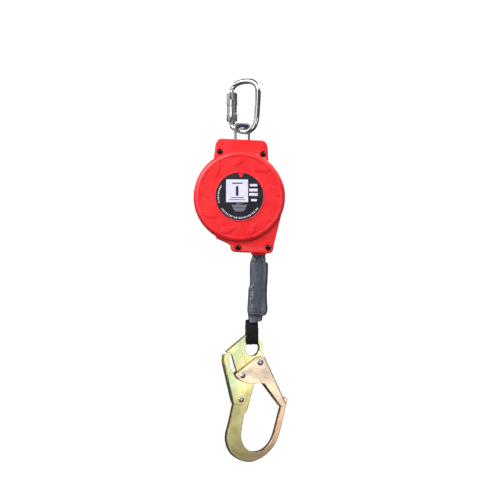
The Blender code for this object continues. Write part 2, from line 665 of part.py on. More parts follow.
def loft(name, sections, sides=16):
    """A skin through rounded-rectangle sections, open at both ends."""
    mesh_edit = bmesh.new()
    rings = []
    for height, middle, wide, deep in sections:
        ring = []
        for k in range(sides):
            angle = math.tau * k / sides
            x = wide * math.copysign(abs(math.cos(angle)) ** 0.55, math.cos(angle))
            y = deep * math.copysign(abs(math.sin(angle)) ** 0.55, math.sin(angle))
            ring.append(mesh_edit.verts.new(((middle + x) * MM, y * MM, height * MM)))
        rings.append(ring)
    for upper, lower in zip(rings, rings[1:]):
        for k in range(sides):
            after = (k + 1) % sides
            mesh_edit.faces.new((upper[k], lower[k], lower[after], upper[after]))
    return from_bmesh(name, mesh_edit)


def loop_outline(radius):
    """Side view of the web loop: round the eye's bar, then both legs up to the pack."""
    bar = HOOK_Z - DRUM_Z + EYE_BAR_V
    half_top = radius - 6.0
    legs = bar + 13.0
    return [(half_top, -226.0), (radius, legs), *arc((0, bar), radius, 0, -180),
            (-radius, legs), (-half_top, -226.0)]


def build_lifeline(axis):
    turn_steps = 8
    top, low = 0.0, -105.0
    mesh_edit = bmesh.new()
    rings = []
    for i in range(turn_steps + 1):
        share = i / turn_steps
        angle = math.radians(90) * (1 - max(0.0, share - 0.1) / 0.9)
        across = Vector((math.cos(angle), math.sin(angle))) * (WEB_WIDTH / 2)
        through = Vector((-math.sin(angle), math.cos(angle))) * (WEB_THICKNESS / 2)
        height = top + (low - top) * share
        corners = [across + through, through - across, -across - through, across - through]
        rings.append([mesh_edit.verts.new((c.x * MM, c.y * MM, height * MM)) for c in corners])
    for upper, lower in zip(rings, rings[1:]):
        for k in range(4):
            after = (k + 1) % 4
            mesh_edit.faces.new((upper[k], lower[k], lower[after], upper[after]))
    mesh_edit.faces.new(rings[0])
    mesh_edit.faces.new(reversed(rings[-1]))
    bmesh.ops.recalc_face_normals(mesh_edit, faces=mesh_edit.faces)
    finish(from_bmesh("lifeline_web", mesh_edit), BLACK_WEB, axis)

    wrap = loft("pack_wrap", PACK_SECTIONS)
    skin = wrap.modifiers.new("wall", "SOLIDIFY")
    skin.thickness = 1.0 * MM
    skin.offset = -1
    wrap = settle(wrap)
    finish(wrap, SLATE_WRAP, axis)
    core = box("tear_web", (-12.0, -6.4, -198.0), (11.0, 6.4, -128.0))
    finish(core, BLACK_WEB, axis)

    hook_axis = (HOOK_X - LINE_X, 0, 0)
    loop = plate("hook_loop_web", [loop_outline(LOOP_RADIUS + 1.7) + loop_outline(LOOP_RADIUS)[::-1]],
                 -LOOP_WIDTH / 2, LOOP_WIDTH / 2, along="X")
    sleeve = plate("wear_sleeve", [loop_outline(LOOP_RADIUS + 3.3)
                                   + loop_outline(LOOP_RADIUS + 2.0)[::-1]],
                   -SLEEVE_WIDTH / 2, SLEEVE_WIDTH / 2, along="X")
    for piece in (loop, sleeve):
        piece.data.transform(Matrix.Rotation(HOOK_YAW, 4, "Z"))
        finish(piece, BLACK_WEB, axis, hook_axis)


# --- hook --------------------------------------------------------------------------------------

def hook_outline():
    """The hook's forged body, from the eye round the bowl to the nose and back."""
    eye = arc((0, 0), EYE_RING_RADIUS, 84, -18)
    lobe = arc(GATE_RIVET, 8.6, 38, -30)
    spine = [(13.0, -43.0), (3.4, -66.2), (-9.6, -111.2), (-15.2, -118.0)]
    bowl = smooth([(-18.4, -134.5), (-21.2, -156.0), (-18.2, -170.5), (-10.0, -181.3),
                   (3.4, -186.5), (18.5, -184.2), (31.4, -174.2), (40.2, -159.0),
                   (47.3, -134.5), (54.8, -107.8)], pieces=3)
    nose = [(59.4, -96.0)] + arc((63.4, -95.2), 4.4, 150, -10)
    back = smooth([(64.4, -107.0), (57.6, -134.5), (50.6, -159.5), (41.6, -177.5),
                   (25.5, -193.2), (7.0, -202.4), (-8.0, -204.4), (-25.0, -199.8),
                   (-40.0, -188.0), (-48.0, -171.0), (-49.0, -154.0), (-42.7, -130.0),
                   (-35.8, -99.5)], pieces=3)
    edge = smooth([(-32.5, -84.0), (-28.0, -62.0), (-28.6, -43.0), (-32.6, -30.0),
                   (-35.8, -18.0), (-38.0, -11.6), (-42.5, -9.2)], pieces=2)
    tip = [(-48.4, -6.4), (-48.2, -4.6)]
    peak = rounded([(-48.2, -4.6, 0), (-10.4, 24.6, 5), (4.0, 19.2, 0)])[1:-1]
    return eye + lobe + spine + bowl + nose + back + edge + tip + peak


def folded(name, outline, inner, outer, keep):
    """Two flat cheeks joined by a web where the keep outline leaves material between them."""
    shell = plate(name, [outline], -outer, outer, bevel=0.6)
    core = plate("core", [keep], -inner, inner)
    return cut(shell, core)


def rivet(name, centre, shank, head, inner, outer, sides=16):
    """A rivet along Y with a low dome at either end, starting just outside the cheeks."""
    rise = outer - inner
    dome = [(head * math.sin(math.radians(a)), inner + rise * math.cos(math.radians(a)))
            for a in (0, 30, 60, 90)]
    profile = [*dome, (head, inner), (shank, inner), (shank, -inner), (head, -inner)]
    profile += [(r, -h) for r, h in reversed(dome)]
    profile = [p for i, p in enumerate(profile) if i == 0 or p != profile[i - 1]]
    piece = turned(name, profile, along="Y", sides=sides)
    piece.data.transform(Matrix.Translation(Vector((centre[0], 0, centre[1])) * MM))
    return piece


def build_hook(eye_axis, gate_axis, lever_axis):
    """Pieces hang from the eye bar's axis, the gate's from its rivet, the lever's from its own."""
    drop = (0, 0, -EYE_BAR_V)
    thick = HOOK_THICKNESS / 2
    body = plate("hook_body", [hook_outline()], -thick, thick, bevel=1.0)
    eye = cylinder("eye", EYE_RADIUS, 40, (0, 0, 0), "Y", 36)
    gate_hole = cylinder("gate_hole", 3.5, 40, (GATE_RIVET[0], 0, GATE_RIVET[1]), "Y", 16)
    lever_hole = cylinder("lever_hole", 3.3, 40, (LEVER_RIVET[0], 0, LEVER_RIVET[1]), "Y", 16)
    body = cut(body, eye, gate_hole, lever_hole)
    finish(body, YELLOW_ZINC, eye_axis, drop)

    gate_outline = rounded([(-34.6, -46.8, 2), (7.0, -16.0, 9), (21.6, -13.4, 9), (63.6, -101.2, 1.5),
                            (55.5, -108.2, 1.5), (21.0, -63.2, 8), (-6.0, -63.6, 26),
                            (-25.0, -56.6, 14)])
    gate_core = [(-60, -90), (-60, 10), (24.6, 10), (24.6, -30.5), (57.0, -92.5), (80, -92.5),
                 (80, -120), (40, -120)]
    gate = folded("hook_gate", gate_outline, HOOK_GATE_INNER, HOOK_GATE_OUTER, gate_core)
    gate_hole = cylinder("gate_hole", 3.5, 40, (GATE_RIVET[0], 0, GATE_RIVET[1]), "Y", 16)
    stop_hole = cylinder("stop_hole", 2.8, 40, (STOP_RIVET[0], 0, STOP_RIVET[1]), "Y", 16)
    gate = cut(gate, gate_hole, stop_hole)
    gate_at = (-GATE_RIVET[0], 0, -GATE_RIVET[1])
    finish(gate, GATE_ZINC, gate_axis, gate_at)
    finish(rivet("gate_rivet", GATE_RIVET, 3.2, 5.8, HOOK_GATE_OUTER + GAP, 12.9), STEEL,
           eye_axis, drop)
    for name, side in (("front", -1), ("rear", 1)):
        profile = [(0, 12.6), (2.7, 12.1), (5.0, 10.5), (2.5, 10.5), (2.5, 8.4), (0, 8.4)]
        stop = turned(f"gate_stop_rivet_{name}", profile, sides=20)
        stop.data.transform(Matrix.Rotation(math.radians(-90 * side), 4, "X"))
        stop.data.transform(Matrix.Translation(Vector((STOP_RIVET[0], 0, STOP_RIVET[1])) * MM))
        finish(stop, STEEL, gate_axis, gate_at)

    lever_outline = rounded([(-53.6, -9.5, 4), (-45.4, -9.2, 4), (-43.2, -30.0, 20),
                             (-33.0, -53.0, 16), (-9.2, -64.4, 3), (-10.8, -88.0, 8),
                             (-18.5, -102.5, 8), (-35.5, -100.5, 8), (-38.4, -94.0, 3),
                             (-54.8, -26.0, 6)])
    lever_core = [(0, 0), (-60, 0), (-60, -26.5), (-52.6, -26.5), (-36.6, -92.5), (-60, -92.5),
                  (-60, -110), (0, -110)]
    lever = folded("lock_lever", lever_outline, LEVER_INNER, LEVER_OUTER, lever_core)
    hole = cylinder("hole", 3.3, 40, (LEVER_RIVET[0], 0, LEVER_RIVET[1]), "Y", 16)
    lever = cut(lever, hole)
    finish(lever, YELLOW_ZINC, lever_axis, (-LEVER_RIVET[0], 0, -LEVER_RIVET[1]))
    finish(rivet("lever_rivet", LEVER_RIVET, 3.0, 5.2, LEVER_OUTER + GAP, 10.4), STEEL,
           eye_axis, drop)

    leaf = smooth([(-33.6, -80.0), (-35.4, -72.0), (-38.0, -62.0), (-39.2, -52.0)], pieces=3)
    strip = leaf + [(x + 0.7, z) for x, z in reversed(leaf)]
    finish(plate("lever_spring", [strip], -3, 3), SPRING_STEEL, eye_axis, drop)
    finish(gate_return_spring(), SPRING_STEEL, eye_axis, drop)


def gate_return_spring():
    """The gate's flat return spring, round its rivet between the body and the rear cheek."""
    turns, steps = 2, 12
    strip = []
    for offset in (0.35, -0.35):
        edge = []
        for i in range(turns * steps + 1):
            angle = math.tau * i / steps
            radius = 4.6 + 2.6 * i / (turns * steps) + offset
            edge.append((GATE_RIVET[0] + radius * math.cos(angle),
                         GATE_RIVET[1] + radius * math.sin(angle)))
        strip += edge if offset > 0 else edge[::-1]
    return plate("gate_spring", [strip], HOOK_THICKNESS / 2 + GAP, HOOK_GATE_INNER - GAP)


def main():
    build_carabiner(make_axis("anchor_point", (0, 0, 0), CARABINER_YAW))
    build_bail(make_axis("bail_axis", (SWIVEL_X, CENTRE_Y, DRUM_Z + BAR_BOTTOM_Z), BAIL_YAW))
    build_housing(make_axis("housing_swivel_axis", (SWIVEL_X, CENTRE_Y, DRUM_Z)))
    pawl_axes = [make_axis(f"pawl_axis_{n}", (DRUM_X + side * PAWL_PIVOT_RADIUS, CENTRE_Y, DRUM_Z))
                 for n, side in ((1, 1), (2, -1))]
    build_drum(make_axis("drum_axis", (DRUM_X, CENTRE_Y, DRUM_Z)), pawl_axes)
    build_lifeline(make_axis("line_axis", (LINE_X, CENTRE_Y, DRUM_Z)))

    def on_hook(u, v):
        return (HOOK_X + u * math.cos(HOOK_YAW), CENTRE_Y + u * math.sin(HOOK_YAW), HOOK_Z + v)

    build_hook(make_axis("hook_eye_axis", on_hook(0, EYE_BAR_V), HOOK_YAW),
               make_axis("hook_gate_axis", on_hook(*GATE_RIVET), HOOK_YAW),
               make_axis("lock_lever_axis", on_hook(*LEVER_RIVET), HOOK_YAW))


main()
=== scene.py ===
"""The looks of the self retracting lifeline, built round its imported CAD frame.

Pieces are drawn in millimetres in the frame of their own assembly (housing, carabiner, bail,
line or hook), and place() carries them into the row frame, which is in metres.
"""
import math

import bmesh
import bpy
from mathutils import Matrix, Vector, noise


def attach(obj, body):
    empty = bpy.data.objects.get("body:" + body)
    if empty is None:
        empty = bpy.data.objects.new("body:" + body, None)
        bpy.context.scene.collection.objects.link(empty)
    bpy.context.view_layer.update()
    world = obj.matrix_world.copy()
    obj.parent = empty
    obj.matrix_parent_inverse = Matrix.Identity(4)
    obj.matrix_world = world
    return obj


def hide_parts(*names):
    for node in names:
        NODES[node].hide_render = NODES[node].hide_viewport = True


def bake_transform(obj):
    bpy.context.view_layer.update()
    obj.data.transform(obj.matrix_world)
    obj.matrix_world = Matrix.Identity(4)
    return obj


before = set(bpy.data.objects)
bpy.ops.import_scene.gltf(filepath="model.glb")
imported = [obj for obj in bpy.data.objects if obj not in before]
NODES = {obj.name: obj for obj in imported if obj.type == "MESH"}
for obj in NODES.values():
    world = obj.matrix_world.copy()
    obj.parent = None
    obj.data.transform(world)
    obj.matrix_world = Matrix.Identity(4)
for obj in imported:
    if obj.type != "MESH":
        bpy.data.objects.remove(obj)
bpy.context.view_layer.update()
MM = 0.001
ARC_STEP = math.radians(6)    # largest angle between two points of a rounded corner
WELD = 1e-3                   # corners closer than this are one

# --- the frames of the assemblies, as the CAD places them ----------------------------------
CARABINER_YAW = math.radians(-32)
BAIL_YAW = math.radians(15)
HOOK_YAW = math.radians(17)
SWIVEL_X = -8.1
CENTRE_Y = SWIVEL_X * math.tan(CARABINER_YAW)
DRUM_X = -14.0
DRUM_Z = -203.0
LINE_X = DRUM_X + 35.3
HOOK_X = 8.4
HOOK_Z = -475.3
BAR_BOTTOM_Z = 118.2
BAR_TILT = math.radians(11)


def frame_at(x, y, z, yaw=0.0):
    move = Matrix.Translation((x * MM, y * MM, z * MM))
    return move @ Matrix.Rotation(yaw, 4, "Z") @ Matrix.Diagonal((MM, MM, MM, 1.0))


CARABINER = frame_at(0, 0, 0, CARABINER_YAW)
BAIL = frame_at(SWIVEL_X, CENTRE_Y, DRUM_Z, BAIL_YAW)
HOUSING = frame_at(DRUM_X, CENTRE_Y, DRUM_Z)
LINE = frame_at(LINE_X, CENTRE_Y, DRUM_Z)
LOOP = frame_at(HOOK_X, CENTRE_Y, DRUM_Z, HOOK_YAW)
HOOK = frame_at(HOOK_X, CENTRE_Y, HOOK_Z, HOOK_YAW)


# --- camera, floor and lights -----------------------------------------------------------------

def set_inputs(node, values):
    for name, value in values.items():
        node.inputs[name].default_value = value


def build_studio():
    distance, half_width, yaw = 2.8, 0.4325, math.radians(-2)
    aim = Vector((-0.0122, CENTRE_Y * MM, -0.2806))
    camera = add_object("camera", bpy.data.cameras.new("camera"))
    camera.data.sensor_width = 36.0
    camera.data.lens = 18.0 * distance / half_width
    camera.location = aim + distance * Vector((math.sin(yaw), -math.cos(yaw), 0.0))
    camera.rotation_euler = (math.radians(90), 0.0, yaw)
    bpy.context.scene.camera = camera
    bpy.context.scene.view_settings.view_transform = "Standard"

    floor = turned("studio_floor", [(0, -2.9), *arc((11, -0.9), 2.0, -90, 0), (13, 9)])
    for polygon in floor.data.polygons:
        polygon.use_smooth = True
    paper = bpy.data.materials.new("studio_paper")
    paper.use_nodes = True
    set_inputs(paper.node_tree.nodes["Principled BSDF"],
               {"Base Color": (0.9, 0.9, 0.9, 1), "Roughness": 0.9,
                "Emission Color": (1, 1, 1, 1), "Emission Strength": 1.0})
    floor.data.materials.append(paper)
    floor.visible_glossy = floor.visible_diffuse = False

    for name, spot, size, brightness in (("key", (-1.1, -1.15, 0.95), (2.0, 1.2), 4.9),
                                         ("fill", (1.1, -1.15, 0.95), (1.2, 1.0), 2.2),
                                         ("top", (0.0, -0.7, 1.3), (1.2, 1.2), 3.4),
                                         ("strip_front", (-0.85, -1.5, -0.25), (0.3, 1.5), 4.5),
                                         ("strip_left", (-1.7, -0.4, -0.2), (0.9, 1.6), 0.5),
                                         ("low_front", (0.95, -1.5, -0.6), (0.9, 0.7), 1.5),
                                         ("back_key", (1.3, 1.5, 0.9), (1.6, 1.2), 4.2),
                                         ("back_fill", (-2.0, 0.9, 0.9), (1.4, 1.4), 2.2),
                                         ("side_right", (2.0, 0.1, -0.2), (1.0, 1.8), 0.7)):
        lamp = bpy.data.lights.new(name, "AREA")
        lamp.shape = "RECTANGLE"
        lamp.size, lamp.size_y = size
        lamp.energy = math.pi * size[0] * size[1] * brightness
        light = add_object(name, lamp)
        light.location = spot
        light.visible_camera = False
        light.visible_glossy = name not in ("top", "side_right")
        light.rotation_euler = (aim - Vector(spot)).to_track_quat("-Z", "Y").to_euler()
    world = bpy.data.worlds.new("studio")
    world.use_nodes = True
    set_inputs(world.node_tree.nodes["Background"],
               {"Color": (0.8, 0.82, 0.85, 1), "Strength": 0.12})
    bpy.context.scene.world = world


# --- shapes ------------------------------------------------------------------------------------

def add_object(name, data):
    added = bpy.data.objects.new(name, data)
    bpy.context.collection.objects.link(added)
    return added


def from_bmesh(name, draft):
    mesh = bpy.data.meshes.new(name)
    draft.to_mesh(mesh)
    draft.free()
    return add_object(name, mesh)


def evaluated_mesh(piece):
    """A mesh of the piece with its modifiers applied, or of a curve."""
    bpy.context.view_layer.update()
    graph = bpy.context.evaluated_depsgraph_get()
    return bpy.data.meshes.new_from_object(piece.evaluated_get(graph))


def settle(piece):
    """Apply a piece's modifiers, or turn a curve into a mesh, and weld what touches."""
    mesh = evaluated_mesh(piece)
    name = piece.name
    bpy.data.objects.remove(piece)
    draft = bmesh.new()
    draft.from_mesh(mesh)
    bmesh.ops.remove_doubles(draft, verts=draft.verts, dist=WELD)
    bmesh.ops.recalc_face_normals(draft, faces=draft.faces)
    draft.to_mesh(mesh)
    draft.free()
    return add_object(name, mesh)


def thicken(piece, thickness, offset):
    """Give a sheet its thickness: about its middle (offset 0) or inwards (offset -1)."""
    wall = piece.modifiers.new("wall", "SOLIDIFY")
    wall.thickness = thickness
    wall.offset = offset
    return settle(piece)


def bridge(draft, rings):
    """Faces between neighbouring closed rings of corners."""
    for upper, lower in zip(rings, rings[1:]):
        for k in range(len(upper)):
            after = (k + 1) % len(upper)
            draft.faces.new((upper[k], lower[k], lower[after], upper[after]))


TURN = {"X": Matrix.Rotation(math.radians(90), 4, "Y"),
        "Y": Matrix.Rotation(math.radians(-90), 4, "X"),
        "Z": Matrix.Identity(4)}


def shift(piece, x=0.0, y=0.0, z=0.0):
    piece.data.transform(Matrix.Translation((x, y, z)))
    return piece


def cylinder(name, radius, length, centre, along="Z", sides=64):
    draft = bmesh.new()
    bmesh.ops.create_cone(draft, cap_ends=True, segments=sides, radius1=radius,
                          radius2=radius, depth=length)
    bmesh.ops.transform(draft, verts=draft.verts,
                        matrix=Matrix.Translation(centre) @ TURN[along])
    return from_bmesh(name, draft)


def box(name, low, high):
    draft = bmesh.new()
    bmesh.ops.create_cube(draft, size=1.0)
    size = [high[i] - low[i] for i in range(3)]
    middle = [(high[i] + low[i]) / 2 for i in range(3)]
    bmesh.ops.transform(draft, verts=draft.verts,
                        matrix=Matrix.Translation(middle) @ Matrix.Diagonal((*size, 1.0)))
    return from_bmesh(name, draft)


def turned(name, profile, along="Z", sides=96):
    """A turned piece: profile is (radius, height) pairs; along Y, height runs to +Y."""
    draft = bmesh.new()
    corners = [draft.verts.new((r, 0.0, h)) for r, h in profile]
    for first, second in zip(corners, corners[1:]):
        draft.edges.new((first, second))
    if profile[0][0] > 0:
        draft.edges.new((corners[-1], corners[0]))
    piece = from_bmesh(name, draft)
    screw = piece.modifiers.new("turn", "SCREW")
    screw.steps = screw.render_steps = sides
    screw.use_merge_vertices = True
    screw.merge_threshold = 1e-4
    piece = settle(piece)
    piece.data.transform(TURN[along])
    return piece


def arc(centre, radius, start, end, step=ARC_STEP):
    start, end = math.radians(start), math.radians(end)
    count = max(2, math.ceil(abs(end - start) / step) + 1)
    angles = [start + (end - start) * i / (count - 1) for i in range(count)]
    return [(centre[0] + radius * math.cos(a), centre[1] + radius * math.sin(a))
            for a in angles]


def rounded(corners):
    """A closed outline through (x, y, radius) corners, each rounded to its radius."""
    outline = []
    for i, (x, y, radius) in enumerate(corners):
        here = Vector((x, y))
        back = (Vector(corners[i - 1][:2]) - here).normalized()
        ahead = (Vector(corners[(i + 1) % len(corners)][:2]) - here).normalized()
        half = back.angle(ahead) / 2
        if radius <= 0 or half > math.radians(89):
            outline.append((x, y))
            continue
        centre = here + (back + ahead).normalized() * (radius / math.sin(half))
        first = here + back * (radius / math.tan(half)) - centre
        turn = first.angle_signed(here + ahead * (radius / math.tan(half)) - centre)
        count = max(1, math.ceil(abs(turn) / ARC_STEP))
        for k in range(count + 1):
            spoke = first.copy()
            spoke.rotate(Matrix.Rotation(-turn * k / count, 2))
            outline.append(tuple(centre + spoke))
    return outline


def smooth(points, pieces=8):
    """Points along a smooth curve (Catmull-Rom) through the given ones."""
    points = [Vector(p) for p in points]
    points = [2 * points[0] - points[1], *points, 2 * points[-1] - points[-2]]
    path = []
    for before, a, b, after in zip(points, points[1:], points[2:], points[3:]):
        for k in range(pieces):
            t = k / pieces
            path.append(0.5 * (2 * a + (b - before) * t
                               + (2 * before - 5 * a + 4 * b - after) * t ** 2
                               + (3 * a - before - 3 * b + after) * t ** 3))
    path.append(points[-2])
    return [tuple(p) for p in path]


def add_line(curve, points, closed):
    spline = curve.splines.new("POLY")
    spline.points.add(len(points) - 1)
    for point, spot in zip(spline.points, points):
        point.co = (*spot, 1.0)
    spline.use_cyclic_u = closed


def plate(name, outlines, low, high, along="Y", bevel=0.0, rounds=4):
    """Flat outlines, filled, made solid from low to high along one axis, edges rounded."""
    curve = bpy.data.curves.new(name, "CURVE")
    curve.dimensions = "2D"
    curve.fill_mode = "BOTH"
    curve.extrude = (high - low) / 2 - bevel
    curve.bevel_depth = bevel
    curve.offset = -bevel
    curve.bevel_resolution = rounds
    for outline in outlines:
        add_line(curve, [(x, y, 0.0) for x, y in outline], True)
    piece = settle(add_object(name, curve))
    middle = (low + high) / 2
    if along == "Z":
        return shift(piece, z=middle)
    piece.data.transform(Matrix.Rotation(math.radians(90), 4, "X"))
    return shift(piece, y=middle)


def tube(name, points, radius, resolution):
    """A round bar along a line of points."""
    curve = bpy.data.curves.new(name, "CURVE")
    curve.dimensions = "3D"
    curve.bevel_depth = radius
    curve.bevel_resolution = resolution
    curve.use_fill_caps = True
    add_line(curve, points, False)
    return settle(add_object(name, curve))


def combine(piece, others, operation):
    """Apply one boolean for each of the other pieces, and use them up."""
    for other in others:
        step = piece.modifiers.new(other.name, "BOOLEAN")
        step.operation = operation
        step.solver = "EXACT"
        step.object = other
    piece = settle(piece)
    for other in others:
        bpy.data.objects.remove(other)
    return piece


def cut(piece, *cutters):
    return combine(piece, cutters, "DIFFERENCE")


def join(piece, *others):
    return combine(piece, others, "UNION")


def soften(piece, width):
    """Round a piece's sharp edges."""
    bevel = piece.modifiers.new("edge", "BEVEL")
    bevel.width = width
    bevel.segments = 2
    bevel.limit_method = "ANGLE"
    bevel.angle_limit = math.radians(50)
    return settle(piece)


def place(piece, where, body, material, replaces=(), sharp=35):
    """Carry a piece from its assembly's frame into the row frame, and let it ride."""
    piece.data.transform(where)
    piece.data.materials.clear()
    piece.data.materials.append(material)
    piece.data.shade_smooth()
    piece.data.set_sharp_from_angle(angle=math.radians(sharp))
    level = piece.modifiers.new("level", "WEIGHTED_NORMAL")
    level.keep_sharp = True
    level.weight = 100
    levelled = evaluated_mesh(piece)
    piece.modifiers.clear()
    piece.data = levelled
    if body:
        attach(piece, body)
    if replaces:
        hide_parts(*replaces)
    return piece


# --- materials ---------------------------------------------------------------------------------

def link(tree, source, output, target, socket):
    tree.links.new(source.outputs[output], target.inputs[socket])


def noise_node(tree, vector, scale, detail, distortion=0.0):
    texture = tree.nodes.new("ShaderNodeTexNoise")
    set_inputs(texture, {"Scale": scale, "Detail": detail, "Roughness": 0.55,
                         "Distortion": distortion})
    link(tree, vector, 0, texture, "Vector")
    return texture


def ramp_node(tree, source, output, stops):
    ramp = tree.nodes.new("ShaderNodeValToRGB")
    link(tree, source, output, ramp, "Fac")
    while len(ramp.color_ramp.elements) < len(stops):
        ramp.color_ramp.elements.new(0.5)
    for element, (position, colour) in zip(ramp.color_ramp.elements, stops):
        element.position = position
        element.color = (*colour, 1)
    return ramp


def range_node(tree, source, output, span, values):
    spread = tree.nodes.new("ShaderNodeMapRange")
    set_inputs(spread, {"From Min": span[0], "From Max": span[1], "To Min": values[0],
                        "To Max": values[1]})
    link(tree, source, output, spread, "Value")
    return spread


def surface(name, stops, roughness, scale, stretch=(1, 1, 1), detail=5.0, distortion=0.0,
            metallic=0.0, grain=900.0, bump=0.02, grain_stretch=(1, 1, 1), edge_highlight=None,
            coat=0.0, sheen=0.0):
    """A procedural material: noisy colour and roughness, a fine bump, painted edge highlights.
    """
    material = bpy.data.materials.new(name)
    material.use_nodes = True
    tree = material.node_tree
    shader = tree.nodes["Principled BSDF"]
    set_inputs(shader, {"Metallic": metallic, "Coat Weight": coat, "Coat Roughness": 0.12,
                        "Sheen Weight": sheen})
    coords = tree.nodes.new("ShaderNodeTexCoord")
    vectors = []
    for scaling in (stretch, grain_stretch):
        mapping = tree.nodes.new("ShaderNodeMapping")
        mapping.inputs["Scale"].default_value = scaling
        link(tree, coords, "Object", mapping, "Vector")
        vectors.append(mapping)
    patches = noise_node(tree, vectors[0], scale, detail, distortion)
    colour = ramp_node(tree, patches, "Fac", stops)
    # painted highlight: sharp convex edges, found by pointiness, are lightened
    if edge_highlight:
        geometry = tree.nodes.new("ShaderNodeNewGeometry")
        edges = ramp_node(tree, geometry, "Pointiness",
                          [(0.52, (0, 0, 0)), (0.62, (edge_highlight[1],) * 3)])
        mix = tree.nodes.new("ShaderNodeMix")
        mix.data_type = "RGBA"
        link(tree, edges, "Color", mix, 0)
        link(tree, colour, "Color", mix, 6)
        mix.inputs[7].default_value = (*edge_highlight[0], 1)
        link(tree, mix, 2, shader, "Base Color")
    else:
        link(tree, colour, "Color", shader, "Base Color")
    fine = noise_node(tree, vectors[1], grain, 3.0)
    spread = range_node(tree, patches, "Fac", (0.3, 0.7), roughness)
    link(tree, spread, "Result", shader, "Roughness")
    relief = tree.nodes.new("ShaderNodeBump")
    set_inputs(relief, {"Strength": 1.0, "Distance": bump * MM})
    link(tree, fine, "Fac", relief, "Height")
    link(tree, relief, "Normal", shader, "Normal")
    return material


def along_object(tree, direction, span, values):
    """A value that changes evenly with place on the object, along one direction."""
    coords = next(n for n in tree.nodes if n.type == "TEX_COORD")
    reach = tree.nodes.new("ShaderNodeVectorMath")
    reach.operation = "DOT_PRODUCT"
    reach.inputs[1].default_value = direction
    link(tree, coords, "Object", reach, 0)
    return range_node(tree, reach, "Value", span, values)


def drifting(material, direction, span, share):
    """Let a material's colours drift from the start of its ramp to the end of it."""
    tree = material.node_tree
    ramp = next(n for n in tree.nodes if n.type == "VALTORGB")
    drift = along_object(tree, direction, span, (0.0, 1.0))
    mixed = tree.nodes.new("ShaderNodeMix")
    mixed.inputs[0].default_value = share
    tree.links.new(ramp.inputs["Fac"].links[0].from_socket, mixed.inputs[2])
    link(tree, drift, "Result", mixed, 3)
    tree.links.new(mixed.outputs[0], ramp.inputs["Fac"])


def paint_shade(material, direction, span, depth):
    """Paint shade into a material: its colour darkens towards the far end of a span."""
    tree = material.node_tree
    shader = tree.nodes["Principled BSDF"]
    shade = along_object(tree, direction, span, (1.0, depth))
    tint = tree.nodes.new("ShaderNodeVectorMath")
    tint.operation = "SCALE"
    tree.links.new(shader.inputs["Base Color"].links[0].from_socket, tint.inputs[0])
    link(tree, shade, "Result", tint, "Scale")
    link(tree, tint, "Vector", shader, "Base Color")


def woven(name, low, high, pitch):
    """Webbing: ribs across its length, crossed by finer yarns, on slightly uneven dye."""
    material = surface(name, [(0.3, low), (0.7, high)], (0.75, 0.95), 160, sheen=0.08)
    tree = material.node_tree
    shader = tree.nodes["Principled BSDF"]
    shader.inputs["Specular IOR Level"].default_value = 0.25
    coords = next(n for n in tree.nodes if n.type == "TEX_COORD")
    waves = []
    for direction, share in (("Z", 1.0), ("X", 0.55)):
        wave = tree.nodes.new("ShaderNodeTexWave")
        wave.bands_direction = direction
        set_inputs(wave, {"Scale": share / (pitch * MM) * 0.314, "Distortion": 1.2,
                          "Detail": 2.0})
        link(tree, coords, "Object", wave, "Vector")
        waves.append(wave)
    weave = tree.nodes.new("ShaderNodeMath")
    weave.operation = "MULTIPLY"
    link(tree, waves[0], "Fac", weave, 0)
    link(tree, waves[1], "Fac", weave, 1)
    relief = tree.nodes.new("ShaderNodeBump")
    relief.inputs["Distance"].default_value = 0.35 * MM
    tree.links.new(weave.outputs[0], relief.inputs["Height"])
    link(tree, relief, "Normal", shader, "Normal")
    return material


def grey(level, warm=0.0):
    return (level + warm, level, level - warm)


STEEL = surface("polished_steel", [(0.3, grey(0.58)), (0.5, grey(0.70)), (0.75, grey(0.80))],
                (0.06, 0.20), 60, stretch=(1, 1, 0.3), metallic=1.0, grain=700, bump=0.012)
SLEEVE_STEEL = surface("satin_steel", [(0.3, grey(0.60)), (0.7, grey(0.78))], (0.16, 0.28), 90,
                       stretch=(1, 1, 0.2), metallic=1.0, grain=900, bump=0.015)
BAIL_STEEL = surface("bail_steel", [(0.3, (0.34, 0.35, 0.38)), (0.7, (0.52, 0.52, 0.54))],
                     (0.2, 0.38), 70, metallic=1.0, grain=800, bump=0.015)
YELLOW_ZINC = surface("yellow_zinc", [(0.14, (0.97, 0.86, 0.38)), (0.24, (0.90, 0.86, 0.42)),
                                      (0.30, (0.66, 0.80, 0.47)), (0.37, (0.95, 0.85, 0.40)),
                                      (0.48, (0.82, 0.74, 0.32)), (0.62, (0.76, 0.66, 0.30)),
                                      (0.74, (0.88, 0.64, 0.38)), (0.86, (0.95, 0.58, 0.38))],
                      (0.2, 0.38), 22, detail=5, distortion=0.6, metallic=1.0, grain=500,
                      bump=0.02)
drifting(YELLOW_ZINC, (1.6, 0.0, -0.5), (0.18, 0.40), 0.64)
# painted shade: the hook's colour darkens towards its lower, left part
paint_shade(YELLOW_ZINC, (-1.2, 0.0, -1.0), (0.55, 0.61), 0.52)
GATE_ZINC = surface("gate_zinc", [(0.25, (0.95, 0.87, 0.54)), (0.45, (0.96, 0.79, 0.56)),
                                  (0.6, (0.96, 0.75, 0.57)), (0.8, (0.94, 0.90, 0.54))],
                    (0.22, 0.42), 30, detail=6, distortion=0.8, metallic=1.0, grain=600,
                    bump=0.02)
# the red plastic's sharp edges carry a painted highlight
RED = surface("red_plastic", [(0.3, (0.84, 0.016, 0.021)), (0.7, (0.91, 0.026, 0.032))],
              (0.3, 0.42), 35, grain=1400, bump=0.03, coat=0.12,
              edge_highlight=((0.95, 0.16, 0.15), 0.5))
NAVY = surface("navy_plastic", [(0.3, (0.014, 0.017, 0.045)), (0.7, (0.022, 0.028, 0.07))],
               (0.35, 0.5), 80, grain=1500, bump=0.03)
CREAM = surface("cream_liner", [(0.3, (0.62, 0.48, 0.34)), (0.7, (0.78, 0.66, 0.52))],
                (0.5, 0.7), 200, grain=1200, bump=0.03)
